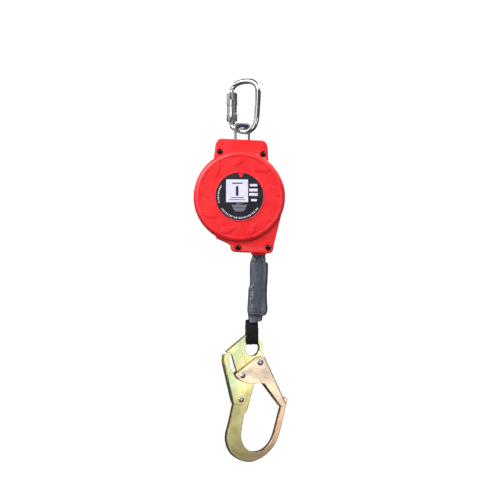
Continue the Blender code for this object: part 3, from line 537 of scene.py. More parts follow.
LABEL_INK = surface("label_ink", [(0.3, (0.012, 0.013, 0.018)), (0.7, (0.020, 0.022, 0.030))],
                    (0.28, 0.4), 60, grain=1200, bump=0.006)
LABEL_PRINT = surface("label_print", [(0.3, (0.72, 0.68, 0.86)), (0.7, (0.82, 0.79, 0.92))],
                      (0.35, 0.5), 90, grain=1500, bump=0.006)
BLACK_STEEL = surface("black_steel", [(0.3, (0.018, 0.018, 0.020)), (0.7, (0.05, 0.05, 0.052))],
                      (0.3, 0.5), 120, metallic=0.8, grain=900, bump=0.02)
BRASS = surface("brass", [(0.3, (0.60, 0.42, 0.14)), (0.7, (0.80, 0.62, 0.28))], (0.25, 0.45),
                120, metallic=1.0, grain=900, bump=0.02)
ALUMINIUM = surface("aluminium", [(0.3, grey(0.62)), (0.7, grey(0.76))], (0.3, 0.45), 90,
                    stretch=(1, 1, 6), metallic=1.0, grain=700, bump=0.015)
SPRING_STEEL = surface("spring_steel", [(0.3, grey(0.22)), (0.7, grey(0.38))], (0.25, 0.4), 150,
                       metallic=1.0, grain=900, bump=0.01)
RIVET_STEEL = surface("rivet_steel", [(0.3, grey(0.52)), (0.7, grey(0.72))], (0.2, 0.4), 160,
                      metallic=1.0, grain=1200, bump=0.02)
BLACK_WEB = woven("black_webbing", (0.010, 0.012, 0.011), (0.028, 0.031, 0.028), 1.2)
SLEEVE_WEB = woven("sleeve_webbing", (0.004, 0.005, 0.0045), (0.012, 0.014, 0.012), 0.9)
WRAP = surface("shrink_wrap", [(0.3, (0.062, 0.070, 0.098)), (0.5, (0.088, 0.098, 0.130)),
                               (0.75, (0.14, 0.15, 0.19))],
               (0.2, 0.36), 45, stretch=(2.2, 2.2, 0.6), grain=260, bump=0.12, coat=0.45,
               grain_stretch=(1.6, 1.6, 0.7))
# painted shade: a dark band down the pack's right edge stands in for its side in shadow
paint_shade(WRAP, (1.0, 0.0, 0.0), (0.0325, 0.0365), 0.42)


# --- housing -----------------------------------------------------------------------------------

DISC_RADIUS = 82.0
PLATEAU_RADIUS = 74.0
HALF_DEPTH = 30.0
PLATEAU_DEPTH = 28.8
BLOCK_HALF_DEPTH = 23.5
WALL = 3.0
SPLIT = 0.15                  # each cover stops this far from the split plane
LABEL_RADIUS = 42.5
LEAVES = 9
SCREWS = {"upper_left": (-34.6, 80.3), "upper_right": (42.5, 76.0),
          "lower_left": (-2.3, -91.6), "lower_right": (51.8, -91.3)}
RECESS_RADIUS = 5.5
RECESS_FLOOR = 12.0


def housing_outline():
    rim = DISC_RADIUS - 1.2
    corners = [(x, y, 0) for x, y in arc((0, 0), rim, 124.5, 238.5, math.radians(4))]
    corners += [(-41.5, -74.5, 2), (-19.5, -84.5, 4), (-15.0, -88.0, 4), (-15.5, -99.2, 9),
                (59.5, -102.2, 9.5), (62.0, -86.0, 4)]
    corners += [(x, y, 0) for x, y in arc((0, 0), rim, -15.5, 49.5, math.radians(4))]
    corners += [(50.6, 88.5, 20), (48.4, 100.2, 11), (-41.0, 104.3, 11), (-43.0, 88.0, 20)]
    return rounded(corners)


def rim_profile(face):
    """From the face at the plateau's edge round to the disc's rim and down to the split."""
    lip = DISC_RADIUS - PLATEAU_RADIUS
    turns = [(PLATEAU_RADIUS + lip * math.sin(math.radians(a)),
              face - 9 * (1 - math.cos(math.radians(a)))) for a in range(0, 91, 9)]
    return [*turns, (DISC_RADIUS, SPLIT), (0, SPLIT)]


def leaf_outlines():
    """Low leaves that lean round the plateau, one long edge straighter than the other."""
    half, wide, ring = 14.4, 6.0, 63.2
    leaf = rounded([(-half, -1.5, 2.4), (half * 0.55, -wide, 4), (half, -0.5, 1.5),
                    (half * 0.2, wide, 9), (-half * 0.9, wide * 0.6, 2.5)])
    outlines = []
    for k in range(LEAVES):
        angle = math.radians(90 - 360 / LEAVES * k)
        lean = angle - math.radians(48)
        outlines.append([(ring * math.cos(angle) + x * math.cos(lean) - y * math.sin(lean),
                          ring * math.sin(angle) + x * math.sin(lean) + y * math.cos(lean))
                         for x, y in leaf])
    return outlines


def build_shell(name, label_side):
    """One cover, drawn on +Y: a rounded block behind a disc, hollowed from the split plane."""
    shell = plate(name, [housing_outline()], -8.0, BLOCK_HALF_DEPTH, bevel=2.6, rounds=6)
    shell = cut(shell, box("half", (-120, -60, -130), (120, SPLIT, 130)))
    rim = 29.7 if label_side else HALF_DEPTH
    face = [(0, 28.5), (LABEL_RADIUS + 0.3, 28.5), (LABEL_RADIUS + 0.3, 29.7)]
    if not label_side:
        face = [(0, 29.2), (LABEL_RADIUS - 1.0, 29.2), (LABEL_RADIUS - 0.5, 29.7)]
    face += [(LABEL_RADIUS + 0.6, 29.9), (LABEL_RADIUS + 1.8, 29.9), (LABEL_RADIUS + 2.3, 29.5),
             (LABEL_RADIUS + 2.8, PLATEAU_DEPTH), (PLATEAU_RADIUS - 1.6, PLATEAU_DEPTH),
             (PLATEAU_RADIUS - 1.1, 29.5), (PLATEAU_RADIUS - 0.5, rim)]
    disc = turned("disc", face + rim_profile(rim), along="Y", sides=144)
    fins = plate("fins", leaf_outlines(), 28.2, HALF_DEPTH - 0.05, bevel=0.7, rounds=5)
    shell = join(shell, join(disc, fins))
    hollow = turned("hollow", [(0, 27), (73, 27), (77.5, 25), (79, 18), (79, -1), (0, -1)],
                    along="Y")
    inside = BLOCK_HALF_DEPTH - WALL
    top_bay = box("top_bay", (-24.5, -1, 50), (35.5, inside, 92.3))
    low_bay = box("low_bay", (8.5, -1, -96.5), (43.5, inside, -40))
    web_bay = box("web_bay", (20, -1, -97.5), (47.2, 8, -50))
    shell = cut(cut(shell, hollow, top_bay, low_bay), web_bay)
    centre = SWIVEL_X - DRUM_X
    well = cylinder("well", 16.8, 20, (centre, 0, 105.7))
    stem_hole = cylinder("stem_hole", 5.8, 20, (centre, 0, 94))
    mouth = plate("mouth", [rounded([(22.2, -13.6, 4), (48.4, -13.6, 4), (48.4, 13.6, 4),
                                     (22.2, 13.6, 4)])], -120, -90, along="Z")
    shell = cut(shell, well, stem_hole, mouth)
    for x, z in SCREWS.values():
        if not label_side:
            shell = cut(shell, cylinder("socket", 4.3, 34, (x, 0, z), "Y", 32))
            continue
        head = cylinder("head", RECESS_RADIUS, 30, (x, RECESS_FLOOR + 15, z), "Y", 48)
        shank = cylinder("shank", 2.8, 30, (x, 5, z), "Y", 24)
        shell = cut(shell, head, shank)
        if z < 0:
            ring = turned("ring", [(6.2, 30), (7.4, 30), (7.4, 22.9), (6.2, 22.9)], "Y", 48)
            shell = cut(shell, shift(ring, x=x, z=z))
    return shell


def face_front(piece):
    """Mirror a piece from +Y, where it was drawn, to the label side."""
    piece.data.transform(Matrix.Diagonal((1, -1, 1, 1)))
    piece.data.flip_normals()
    return piece


def bar(x0, z0, x1, z1, radius=0.6):
    return rounded([(x0, z0, radius), (x1, z0, radius), (x1, z1, radius), (x0, z1, radius)])


def build_label():
    """A dark disc with a notch, printed with a plain square, boxes, bars and rim ticks."""
    edge = LABEL_RADIUS - 0.1
    outline = arc((0, 0), edge, 78.3, 94.5 - 360, math.radians(3))
    outline += arc((2.5, 36.4), 2.1, 196, 344)
    badge = plate("label_plate", [outline], 28.55, 29.3, bevel=0.15)
    place(face_front(badge), HOUSING, "housing", LABEL_INK, ["label_plate"])

    square = bar(-24.1, -10.1, 15.1, 30.4, 0.6)
    marks = [bar(-6.6, 1.0, -2.0, 18.5, 1.0), bar(-13.5, 22.6, 5.5, 24.8, 0.4),
             bar(-15.5, -2.6, 7.5, -1.2, 0.3), bar(-18.5, -6.4, 10.0, -5.2, 0.3)]
    prints = [square, *[mark[::-1] for mark in marks]]
    prints += [bar(17.2, 9.0, 32.4, 14.2, 0.4), bar(17.2, 1.2, 32.4, 6.2, 0.4),
               bar(20.6, -8.4, 31.0, -4.6, 0.4), bar(18.4, 18.0, 31.6, 22.4, 0.4)]
    for k, half in enumerate((5.0, 13.0, 12.4, 11.4, 10.0, 8.4)):
        top = -13.0 - 2.5 * k
        prints.append(bar(-0.5 - half, top - 0.5, -0.5 + half, top, 0.1))
    for start, end, count in ((150, 196, 11), (214, 326, 27)):
        for k in range(count):
            angle = math.radians(start + (end - start) * k / (count - 1))
            along = Vector((math.cos(angle), math.sin(angle)))
            across = Vector((-along.y, along.x))
            inner, outer, half = 36.6, 39.6, 0.7 if k % 3 else 0.35
            prints.append([tuple(along * r + across * s) for r, s in
                           ((inner, -half), (outer, -half), (outer, half), (inner, half))])
    ink = plate("label_print", prints, 29.2, 29.45)
    place(face_front(ink), HOUSING, "housing", LABEL_PRINT)


def build_screw(name, x, z):
    """A pan-head screw with a hexagon socket, deep in its recess."""
    head = turned(f"screw_{name}", [(0, 2.6), (2.6, 2.5), (3.7, 1.9), (4.2, 0.7), (4.2, -2.2),
                                    (2.4, -2.2), (2.4, -25.5), (0, -26.0)], "Y", 40)
    shift(head, x, RECESS_FLOOR + 2.5, z)
    socket = cylinder("socket", 2.5, 4.0, (x, RECESS_FLOOR + 5.2, z), "Y", 6)
    place(face_front(cut(head, socket)), HOUSING, "housing", BLACK_STEEL,
          [f"housing_screw_{name}"])


def build_line_guide():
    lip = rounded([(22.5, -13.3, 4), (48.1, -13.3, 4), (48.1, 13.3, 4), (22.5, 13.3, 4)])
    hole = rounded([(24.7, -11.6, 3), (45.9, -11.6, 3), (45.9, 11.6, 3), (24.7, 11.6, 3)])
    guide = plate("web_guide", [lip, hole], -104.8, -93.0, along="Z", bevel=0.7)
    flange = rounded([(24.0, -15.6, 1), (43.0, -15.6, 1), (43.0, 15.6, 1), (24.0, 15.6, 1)])
    guide = join(guide, plate("ledge", [flange], -96.2, -94.0, along="Z"))
    throat = plate("throat", [hole], -110.0, -90.0, along="Z")
    place(cut(guide, throat), HOUSING, "housing", RED, ["line_guide"])


def build_housing():
    front, rear = face_front(build_shell("cover_front", True)), build_shell("cover_rear", False)
    for cover, node in ((front, "front_cover"), (rear, "rear_cover")):
        cover.visible_glossy = False
        place(cover, HOUSING, "housing", RED, [node], sharp=28)
    build_label()
    for name, (x, z) in SCREWS.items():
        build_screw(name, x, z)
    build_line_guide()


# --- carabiner, drawn with its bar in the local XZ plane --------------------------------------

BAR_RADIUS = 4.95
GATE_U = -31.0
GATE_PIVOT_V = -68.5
NOSE_V = -9.6
SLEEVE_RADIUS = 9.7
SLEEVE_TOP_V = -14.4
SLEEVE_BOTTOM_V = -66.3
FACING = math.radians(-58)    # the sleeve's side that is turned towards the label's side
BAR_ROUTE = [(-31.1, NOSE_V - 4), (-30.6, -8.0), (-27.6, -3.0), (-21.6, 1.0), (-12.0, 4.0),
             (0.0, BAR_RADIUS), (11.0, 3.6), (19.0, -1.6), (22.6, -10.0), (23.1, -22.0),
             (22.0, -40.0), (20.8, -56.0), (18.9, -68.0), (14.2, -77.5), (6.0, -83.8),
             (-4.0, -85.6), (-14.0, -83.6), (-22.8, -79.6), (-28.6, -76.2), (-30.6, -73.9)]


def radial_cut(name, turn, width, low, high, inner=5.4, top_round=False):
    """A cutter through the sleeve's wall on one side, square or with an arched top."""
    corners = [(-width / 2, low, 0), (width / 2, low, 0)]
    reach = width / 2 - 0.01 if top_round else 0.8
    corners += [(width / 2, high, reach), (-width / 2, high, reach)]
    cutter = plate(name, [rounded(corners)], inner, 14.0)
    cutter.data.transform(Matrix.Rotation(turn - math.radians(90), 4, "Z"))
    return shift(cutter, x=GATE_U)


def build_carabiner():
    route = [(u, 0.0, v) for u, v in smooth(BAR_ROUTE, pieces=8)]
    body = tube("carabiner_bar", route, BAR_RADIUS, resolution=9)
    tang = plate("tang", [rounded([(-34.4, -78.0, 0), (-27.6, -79.5, 0), (-27.6, -65.0, 3.2),
                                   (-34.4, -65.0, 3.2)])], -2.0, 2.0, bevel=0.3)
    seat = cylinder("seat", 5.1, 14, (GATE_U, 0, GATE_PIVOT_V), "Y", 64)
    hole = cylinder("hole", 2.2, 8, (GATE_U, 0, GATE_PIVOT_V), "Y", 32)
    below_nose = box("below_nose", (GATE_U - 8, -8, NOSE_V - 12), (GATE_U + 8, 8, NOSE_V))
    body = cut(join(cut(body, seat, below_nose), tang), hole)
    collar = turned("collar", [(4.9, 0.6), (5.2, 0.3), (5.2, -0.3), (4.9, -0.6), (4.5, -0.6),
                               (4.5, 0.6)], sides=64)
    body = join(body, shift(collar, x=GATE_U + 0.2, z=NOSE_V + 1.6))
    place(body, CARABINER, "carabiner", STEEL, ["carabiner_body"])

    pin = turned("gate_pin", [(0, 4.7), (1.3, 4.6), (1.9, 4.1), (1.9, -4.1), (1.3, -4.6),
                              (0, -4.7)], "Y", 32)
    shift(pin, x=GATE_U, z=GATE_PIVOT_V)
    place(pin, CARABINER, "carabiner", RIVET_STEEL, ["carabiner_gate_pin"])

    top = NOSE_V - 0.7
    gate = turned("gate_bar", [(0, top), (3.6, top), (4.7, top - 1.6), (4.7, GATE_PIVOT_V),
                               (0, GATE_PIVOT_V)], sides=64)
    shift(gate, x=GATE_U)
    knuckle = cylinder("knuckle", 4.5, 9.2, (GATE_U, 0, GATE_PIVOT_V), "Y", 48)
    slot = box("slot", (GATE_U - 6, -2.35, GATE_PIVOT_V - 6),
               (GATE_U + 6, 2.35, GATE_PIVOT_V + 4.6))
    bore = cylinder("bore", 2.2, 14, (GATE_U, 0, GATE_PIVOT_V), "Y", 32)
    catch = radial_cut("catch", FACING + math.radians(38), 3.4, -40.0, top - 2.2, inner=2.6)
    gate = cut(join(gate, knuckle), slot, bore, catch)
    place(gate, CARABINER, "carabiner_gate", STEEL, ["carabiner_gate"])

    low, high = SLEEVE_BOTTOM_V, SLEEVE_TOP_V
    outer, waist = SLEEVE_RADIUS, SLEEVE_RADIUS - 0.8
    sleeve = turned("lock_sleeve",
                    [(5.3, high), (outer - 0.9, high), (outer - 0.3, high - 0.3),
                     (outer, high - 0.9), (outer, high - 22.4), (outer - 0.3, high - 23.0),
                     (waist, high - 23.3), (waist, high - 37.2), (outer - 0.3, high - 37.5),
                     (outer, high - 38.1), (outer, low + 0.9), (outer - 0.3, low + 0.3),
                     (outer - 0.9, low), (5.3, low)], sides=96)
    shift(sleeve, x=GATE_U)
    sleeve = cut(sleeve,
                 radial_cut("slot_wide", FACING - math.radians(8), 5.6, -27.4, -10.0),
                 radial_cut("slot_narrow", FACING + math.radians(7), 3.8, -37.2, -26.0),
                 radial_cut("window", FACING + math.radians(4), 9.4, -70.0, -57.4,
                            top_round=True))
    sleeve = soften(sleeve, 0.22)
    place(sleeve, CARABINER, "carabiner_sleeve", SLEEVE_STEEL, ["carabiner_sleeve"])


# --- bail --------------------------------------------------------------------------------------

def bar_groove():
    groove = cylinder("groove", BAR_RADIUS + 1.5, 60, (0, 0, 0), "X", 64)
    groove.data.transform(Matrix.Rotation(BAR_TILT, 4, "Y"))
    groove.data.transform(Matrix.Rotation(CARABINER_YAW - BAIL_YAW, 4, "Z"))
    return shift(groove, z=BAR_BOTTOM_Z)


def build_bail():
    half, thick, deep, top_z, corner = 14.1, 3.0, 3.25, 132.7, 5.0
    foot = 98.8
    outside = arc((half - corner, top_z - corner), corner, 0, 90)
    outside += arc((corner - half, top_z - corner), corner, 90, 180)
    inside = arc((corner - half, top_z - corner), corner - thick, 180, 90)
    inside += arc((half - corner, top_z - corner), corner - thick, 90, 0)
    strap = [(half, foot), *outside, (-half, foot), (thick - half, foot), *inside,
             (half - thick, foot)]
    place(plate("bail_strap", [strap], -deep, deep, bevel=0.7), BAIL, "bail", BAIL_STEEL,
          ["bail"])

    inner, top = half - thick - 0.3, top_z - thick - 0.3
    arch_z, liner_in, liner_out = BAR_BOTTOM_Z - 3.2, 8.2, 10.0
    saddle_low = arch_z + 4.8
    spread = math.degrees(math.asin((saddle_low - arch_z) / (liner_out + 0.3)))
    saddle = [(inner, saddle_low)]
    saddle += arc((inner - 2.2, top - 2.2), 2.2, 0, 90)
    saddle += arc((2.2 - inner, top - 2.2), 2.2, 90, 180)
    saddle += [(-inner, saddle_low)]
    saddle += arc((0, arch_z), liner_out + 0.3, 180 - spread, spread)
    block = plate("saddle_block", [saddle], -2.95, 2.95, bevel=0.5)
    place(cut(block, bar_groove()), BAIL, "bail", NAVY, ["saddle_insert"])
    band = arc((0, arch_z), liner_out, 30, 150) + arc((0, arch_z), liner_in, 150, 30)
    liner = plate("arch_liner", [band], -2.95, 2.95, bevel=0.3)
    place(cut(liner, bar_groove()), BAIL, "bail", CREAM, ["wear_liner"])


# --- line, pack and loop -----------------------------------------------------------------------

PACK_EDGES = [  # height, left edge, right edge and half depth, from the line's own axis
    (-103.4, -9.8, 11.6, 4.2), (-107.6, -11.4, 12.0, 4.6), (-112.0, -13.0, 12.4, 5.4),
    (-115.2, -14.0, 12.8, 6.8), (-116.8, -14.8, 14.4, 9.0), (-118.6, -15.3, 16.4, 10.4),
    (-124.0, -15.6, 17.2, 10.9), (-132.0, -15.7, 17.0, 11.0), (-151.0, -15.7, 16.0, 11.0),
    (-160.0, -16.0, 15.4, 11.0), (-164.4, -18.2, 15.2, 11.0), (-176.0, -18.6, 15.0, 11.0),
    (-188.0, -19.3, 15.2, 11.0), (-199.5, -20.2, 16.0, 10.9), (-206.4, -20.1, 15.6, 10.6),
    (-210.9, -19.2, 14.0, 9.8), (-214.6, -18.6, 10.2, 8.4), (-217.4, -18.4, 7.2, 7.6),
    (-221.5, -18.8, 6.8, 7.8), (-226.0, -19.2, 5.4, 8.2)]


SKIN = 0.8           # thickness of the pack's film and of the wear sleeve's tube
LOOP_V = 16.7        # middle of the loop's turn round the eye's top bar
LOOP_SHIFT = 0.6     # how far the loop sits to the right of the eye's middle
LOOP_LEAN = 0.2      # how far the loop is skewed on the eye's bar, per unit of its depth


def between(table, height):
    """A row of the table at any height, by straight-line interpolation between its rows."""
    for upper, lower in zip(table, table[1:]):
        if height >= lower[0]:
            share = (upper[0] - height) / (upper[0] - lower[0])
            share = max(0.0, share)
            return [a + (b - a) * share for a, b in zip(upper[1:], lower[1:])]
    return table[-1][1:]


def hump(value, middle, width):
    return math.exp(-((value - middle) / width) ** 2)


def build_pack():
    """The shrink-wrapped pack: a crinkled neck, a tight body with ribs, a pinch and a flare."""
    rows, around = 150, 112
    high, low = PACK_EDGES[0][0], PACK_EDGES[-1][0]
    draft = bmesh.new()
    rings = []
    for i in range(rows + 1):
        height = high + (low - high) * i / rows
        left, right, deep = between(PACK_EDGES, height)
        middle, wide = (left + right) / 2, (right - left) / 2
        body = 1.0 if -210.0 < height < -118.0 else 0.0
        neck = max(0.0, min(1.0, (height + 118.0) / 6.0))
        flare = max(0.0, min(1.0, (-213.0 - height) / 5.0))
        ring = []
        for k in range(around):
            angle = math.tau * k / around
            across = math.copysign(abs(math.cos(angle)) ** 0.42, math.cos(angle))
            through = math.copysign(abs(math.sin(angle)) ** 0.5, math.sin(angle))
            x, y, z = middle + wide * across, deep * through, height
            near = abs(through)
            ridges = 0.7 * hump(x, -9.5, 2.6) + 0.6 * hump(x, 9.0, 2.2) - 0.5 * hump(x, 0, 5)
            ribs = 0.5 + 0.5 * math.sin(math.tau * z / 3.7)
            ribs *= (hump(x, right - 3.5, 2.6) * (1.0 if z < -140 else 0.0)
                     + hump(x, left + 3.2, 2.4) * (1.0 if z < -172 else 0.0))
            fold_z = -161.0 - (-10.0 - x) * 0.8
            fold = hump(z, fold_z, 1.3) - 0.8 * hump(z, fold_z - 3.4, 2.0)
            fold *= hump(x, -14.5, 4.5) * (1.0 if y < 0 else 0.4)
            pinch_z = -209.0 - (x + 18.0) * 0.16
            pinch = -1.5 * hump(z, pinch_z, 1.5) * (0.4 + 0.6 * hump(x, -2.0, 14.0))
            pleat = math.sin(x * 1.5 + 2.0 * math.sin(z * 0.35)) + 0.5 * math.sin(x * 3.1 + z)
            crinkle = noise.noise(Vector((x * 0.12, y * 0.12, z * 0.16)))
            fine = noise.noise(Vector((x * 0.45, y * 0.45 + 40, z * 0.4)))
            outward = body * (ridges + 0.7 * ribs + 1.3 * fold)
            outward += pinch + 0.55 * pleat * max(neck, 0.9 * flare)
            outward += 0.5 * crinkle + 0.22 * fine
            y += math.copysign(outward * near, through)
            x += math.copysign((0.5 * crinkle + 0.3 * fine + 0.5 * pinch
                                + 0.5 * neck * math.sin(z * 1.7 + through)) * (1 - near) ** 0.5,
                               across)
            if flare > 0:
                hem = noise.noise(Vector((x * 0.3, through, 7.0)))
                z += flare * (1.3 * hem + 0.10 * (x + 18.0) * (1.0 if x > -4 else 0.3))
            ring.append(draft.verts.new((x, y, z)))
        rings.append(ring)
    bridge(draft, rings)
    skin = thicken(from_bmesh("pack_skin", draft), SKIN, -1)
    place(skin, LINE, "lifeline", WRAP, ["pack_wrap"], sharp=70)


def build_web():
    """The straight run from the drum: face-on to the drum at its top, edge-on at the guide."""
    rows, length = 60, 118.0
    section = [(10, 0.45), (9.3, 0.7), (-9.3, 0.7), (-10, 0.45), (-10, -0.45), (-9.3, -0.7),
               (9.3, -0.7), (10, -0.45)]
    draft = bmesh.new()
    rings = []
    for i in range(rows + 1):
        share = i / rows
        angle = math.radians(90) * (1 - max(0.0, min(1.0, (share - 0.09) / 0.8)))
        ring = []
        for a, b in section:
            x = a * math.cos(angle) - b * math.sin(angle)
            y = a * math.sin(angle) + b * math.cos(angle)
            ring.append(draft.verts.new((x, y, -length * share)))
        rings.append(ring)
    bridge(draft, rings)
    draft.faces.new(rings[0])
    draft.faces.new(rings[-1][::-1])
    bmesh.ops.recalc_face_normals(draft, faces=draft.faces)
    web = from_bmesh("web_run", draft)
    place(web, LINE, None, BLACK_WEB, ["lifeline_web"])
    x, y = LINE_X * MM, CENTRE_Y * MM
    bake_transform(web)


def loop_side(radius, top_half):
    """Side view of the web loop: down one leg, round the eye's bar and up the other."""
    bar = HOOK_Z - DRUM_Z + LOOP_V
    legs, high = bar + 13.0, -223.0
    waist = top_half + (radius - top_half) * 0.55
    return [(top_half, high), (waist, (legs + high) / 2), (radius, legs),
            *arc((0, bar), radius, 0, -180),
            (-radius, legs), (-waist, (legs + high) / 2), (-top_half, high)]


def band(name, side, half_width, thickness, crumple, ragged):
    """Webbing along a side-view line: many rows across it, crumpled, with uneven edges."""
    path = smooth([(0.0, y, z) for y, z in side], pieces=5)
    across = 22
    draft = bmesh.new()
    rows = []
    for i, point in enumerate(path):
        before, after = Vector(path[max(0, i - 1)]), Vector(path[min(len(path) - 1, i + 1)])
        tangent = (after - before).normalized()
        outward = Vector((0, tangent.z, -tangent.y))
        row = []
        for k in range(across + 1):
            s = 2 * k / across - 1
            ripple = noise.noise(Vector((s * 2.2, point[1] * 0.12, point[2] * 0.12)))
            edge = noise.noise(Vector((s * 3.0, point[1] * 0.3, point[2] * 0.3 + 9)))
            x = s * (half_width + ragged * edge * abs(s) ** 3)
            place_at = Vector(point) - outward * (crumple * ripple)
            place_at.x = x + LOOP_SHIFT + LOOP_LEAN * place_at.y
            row.append(draft.verts.new(place_at))
        rows.append(row)
    for first, second in zip(rows, rows[1:]):
        for k in range(across):
            draft.faces.new((first[k], first[k + 1], second[k + 1], second[k]))
    return thicken(from_bmesh(name, draft), thickness, 0)


def build_shroud():
    """The wear sleeve's flat tube above the eye, round both legs of the loop."""
    rows, around, high, low = 44, 72, -221.0, -244.0
    draft = bmesh.new()
    rings = []
    for i in range(rows + 1):
        share = i / rows
        z = high + (low - high) * share
        wide, deep = 11.0 + 0.4 * share, 5.4 + 5.4 * share
        ring = []
        for k in range(around):
            angle = math.tau * k / around
            x = wide * math.copysign(abs(math.cos(angle)) ** 0.35, math.cos(angle))
            y = deep * math.copysign(abs(math.sin(angle)) ** 0.45, math.sin(angle))
            ripple = noise.noise(Vector((x * 0.13, y * 0.2, z * 0.11)))
            edge = noise.noise(Vector((x * 0.3, y * 0.3, 5.0)))
            chamfer = max(0.0, x - 5.0) * max(0.0, 1 - share * 5)
            ring.append(draft.verts.new((x + 0.7 * ripple + LOOP_SHIFT + LOOP_LEAN * y,
                                             y + 0.6 * ripple,
                                             z + 0.8 * edge * share - 0.35 * chamfer)))
        rings.append(ring)
    bridge(draft, rings)
    tube_skin = thicken(from_bmesh("sleeve_tube", draft), SKIN, -1)
    place(tube_skin, LOOP, "lifeline", SLEEVE_WEB, sharp=60)


def build_loop():
    web = band("loop_web", loop_side(8.6, 3.0), 9.6, 1.2, 0.1, 0.1)
    place(web, LOOP, "lifeline", BLACK_WEB, ["hook_loop_web"],
          sharp=60)
    sleeve = band("loop_sleeve", loop_side(10.1, 4.6), 11.2, 1.0, 0.9, 0.8)
    place(sleeve, LOOP, "lifeline", SLEEVE_WEB, ["wear_sleeve"],
          sharp=60)
    build_shroud()


# --- hook --------------------------------------------------------------------------------------

EYE_RADIUS = 13.6
GATE_RIVET = (13.4, -25.4)
STOP_RIVET = (-19.9, -48.6)
LEVER_RIVET = (-22.2, -91.6)


def hook_outline():
    eye = arc((0, 0), 19.4, 84, -18)
    lobe = arc(GATE_RIVET, 8.6, 38, -30)
    spine = [(13.0, -43.0), (3.4, -66.2), (-9.6, -111.2), (-15.2, -118.0)]
    bowl = smooth([(-18.4, -134.5), (-21.2, -156.0), (-18.2, -170.5), (-10.0, -181.3),
                   (3.4, -186.5), (18.5, -184.2), (31.4, -174.2), (40.2, -159.0),
                   (47.3, -134.5), (54.8, -107.8)])
    nose = [(59.4, -96.0)] + arc((63.4, -95.2), 4.4, 150, -10)
    back = smooth([(64.4, -107.0), (57.6, -134.5), (50.6, -159.5), (41.6, -177.5),
                   (25.5, -193.2), (7.0, -202.4), (-8.0, -204.4), (-25.0, -199.8),
                   (-40.0, -188.0), (-48.0, -171.0), (-49.0, -154.0), (-42.7, -130.0),
                   (-35.8, -99.5)])
    edge = smooth([(-32.5, -84.0), (-28.0, -62.0), (-28.6, -43.0), (-32.6, -30.0),
                   (-35.8, -18.0), (-38.0, -11.6), (-42.5, -9.2)], pieces=5)
    tip = [(-48.4, -6.4), (-48.2, -4.6)]
    peak = rounded([(-48.2, -4.6, 0), (-10.4, 24.6, 5), (4.0, 19.2, 0)])[1:-1]
    return eye + lobe + spine + bowl + nose + back + edge + tip + peak


def channel(name, outline, inner, outer, core, fold):
    """A folded sheet: two cheeks with small edges, and a well-rounded bend along one side."""
    shell = plate(name, [outline], -outer, outer, bevel=0.45)
    bend = plate("bend", [fold], -outer, outer, bevel=2.4, rounds=6)
    shell = combine(shell, [bend], "INTERSECT")
    return cut(shell, plate("core", [core], -inner, inner, bevel=0.8))


def pivot_hole(radius, at):
    return cylinder("hole", radius, 40, (at[0], 0, at[1]), "Y", 40)


def build_rivet(name, at, shank, head, inner, outer, node):
    """A rivet's domed heads with a fine flange, on a shank that ends inside each cheek."""
    rise = outer - inner
    dome = [(head * math.sin(math.radians(a)), inner + 0.25 + (rise - 0.25)
             * math.cos(math.radians(a))) for a in range(0, 91, 9)]
    profile = [*dome, (head, inner), (shank, inner), (shank, 0), (0, 0)]
    rear, front = turned(name, profile, "Y", 56), face_front(turned(name, profile, "Y", 56))
    place(shift(join(rear, front), x=at[0], z=at[1]), HOOK, "hook", RIVET_STEEL, [node])


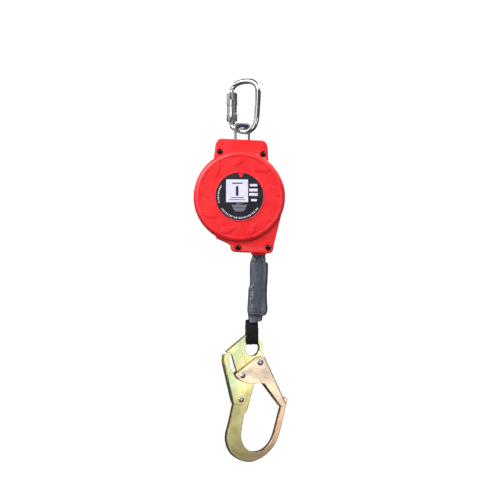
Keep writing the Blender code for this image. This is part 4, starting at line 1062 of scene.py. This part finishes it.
def build_hook():
    eye = arc((0, 0), EYE_RADIUS, 0, -354)
    body = plate("hook_forging", [hook_outline(), eye], -6.0, 6.0, bevel=1.3, rounds=4)
    floor = 4.9
    bounds = rounded([(-52, -6.9, 0), (-27, -5.0, 4), (-17.0, -8.2, 6), (-12.6, -26, 4),
                      (-10.0, -58, 4), (-60, -66, 0)])
    for low, high in ((floor, 9.0), (-9.0, -floor)):
        body = cut(body, plate("pocket", [bounds], low, high))
    body = cut(body, pivot_hole(3.5, GATE_RIVET), pivot_hole(3.3, LEVER_RIVET))
    body = soften(body, 0.35)
    place(body, HOOK, "hook", YELLOW_ZINC, ["hook_body"], sharp=40)

    outline = rounded([(-34.6, -46.8, 2), (7.0, -16.0, 9), (21.6, -13.4, 9), (63.6, -101.2, 1.5),
                       (55.5, -108.2, 1.5), (21.0, -63.2, 8), (-6.0, -63.6, 26),
                       (-25.0, -56.6, 14)])
    core = [(-60, -90), (-60, 10), (24.6, 10), (24.6, -30.5), (57.0, -92.5), (80, -92.5),
            (80, -120), (40, -120)]
    fold = [(21.6, -13.4), (63.6, -101.2), (80, -160), (-90, -160), (-90, 40), (-4, 40)]
    gate = channel("gate_channel", outline, 8.2, 10.2, core[::-1], fold[::-1])
    gate = cut(gate, pivot_hole(3.5, GATE_RIVET), pivot_hole(2.8, STOP_RIVET))
    place(gate, HOOK, "hook_gate", GATE_ZINC, ["hook_gate"], sharp=30)

    outline = rounded([(-53.6, -9.5, 4), (-45.4, -9.2, 4), (-43.2, -30.0, 20),
                       (-33.0, -53.0, 16), (-9.2, -64.4, 3), (-10.8, -88.0, 8),
                       (-18.5, -102.5, 8), (-35.5, -100.5, 8), (-38.4, -94.0, 3),
                       (-54.8, -26.0, 6)])
    core = [(0, 0), (-60, 0), (-60, -26.5), (-52.6, -26.5), (-36.6, -92.5), (-60, -92.5),
            (-60, -110), (0, -110)]
    fold = [(-38.4, -94.0), (-54.8, -26.0), (-64, 14), (60, 14), (60, -130), (-29.7, -130)]
    lever = channel("lever_channel", outline, 6.3, 7.9, core, fold)
    lever = cut(lever, pivot_hole(3.3, LEVER_RIVET))
    place(lever, HOOK, "lock_lever", YELLOW_ZINC, ["lock_lever"], sharp=30)

    build_rivet("rivet_gate", GATE_RIVET, 3.2, 5.8, 10.5, 12.9, "gate_rivet")
    build_rivet("rivet_lever", LEVER_RIVET, 3.0, 5.2, 8.2, 10.4, "lever_rivet")
    for name, side in (("front", -1), ("rear", 1)):
        profile = [(0, 12.6), (1.6, 12.45), (3.2, 11.9), (4.4, 11.1), (5.0, 10.5), (2.5, 10.5),
                   (2.5, 8.4), (0, 8.4)]
        stop = turned(f"rivet_stop_{name}", profile, "Y", 56)
        if side < 0:
            stop = face_front(stop)
        shift(stop, x=STOP_RIVET[0], z=STOP_RIVET[1])
        place(stop, HOOK, "hook_gate", RIVET_STEEL, [f"gate_stop_rivet_{name}"])


# --- everything the CAD already shapes well ----------------------------------------------------

SLOT_FINISH = {"zinc_steel": STEEL, "yellow_zinc": YELLOW_ZINC, "gate_zinc": GATE_ZINC,
               "red_plastic": RED, "navy_plastic": NAVY, "cream_liner": CREAM,
               "label": LABEL_INK, "black_steel": BLACK_STEEL, "brass": BRASS,
               "aluminium": ALUMINIUM, "spring_steel": SPRING_STEEL, "black_web": BLACK_WEB,
               "slate_wrap": WRAP}


def dress_nodes():
    """Give every CAD node the full material of its own slot."""
    for node in NODES.values():
        for slot in node.material_slots:
            slot.material = SLOT_FINISH[slot.material.name.split(".")[0]]
        node.data.shade_smooth()
        node.data.set_sharp_from_angle(angle=math.radians(35))


dress_nodes()
build_studio()
build_housing()
build_carabiner()
build_bail()
build_pack()
build_web()
build_loop()
build_hook()
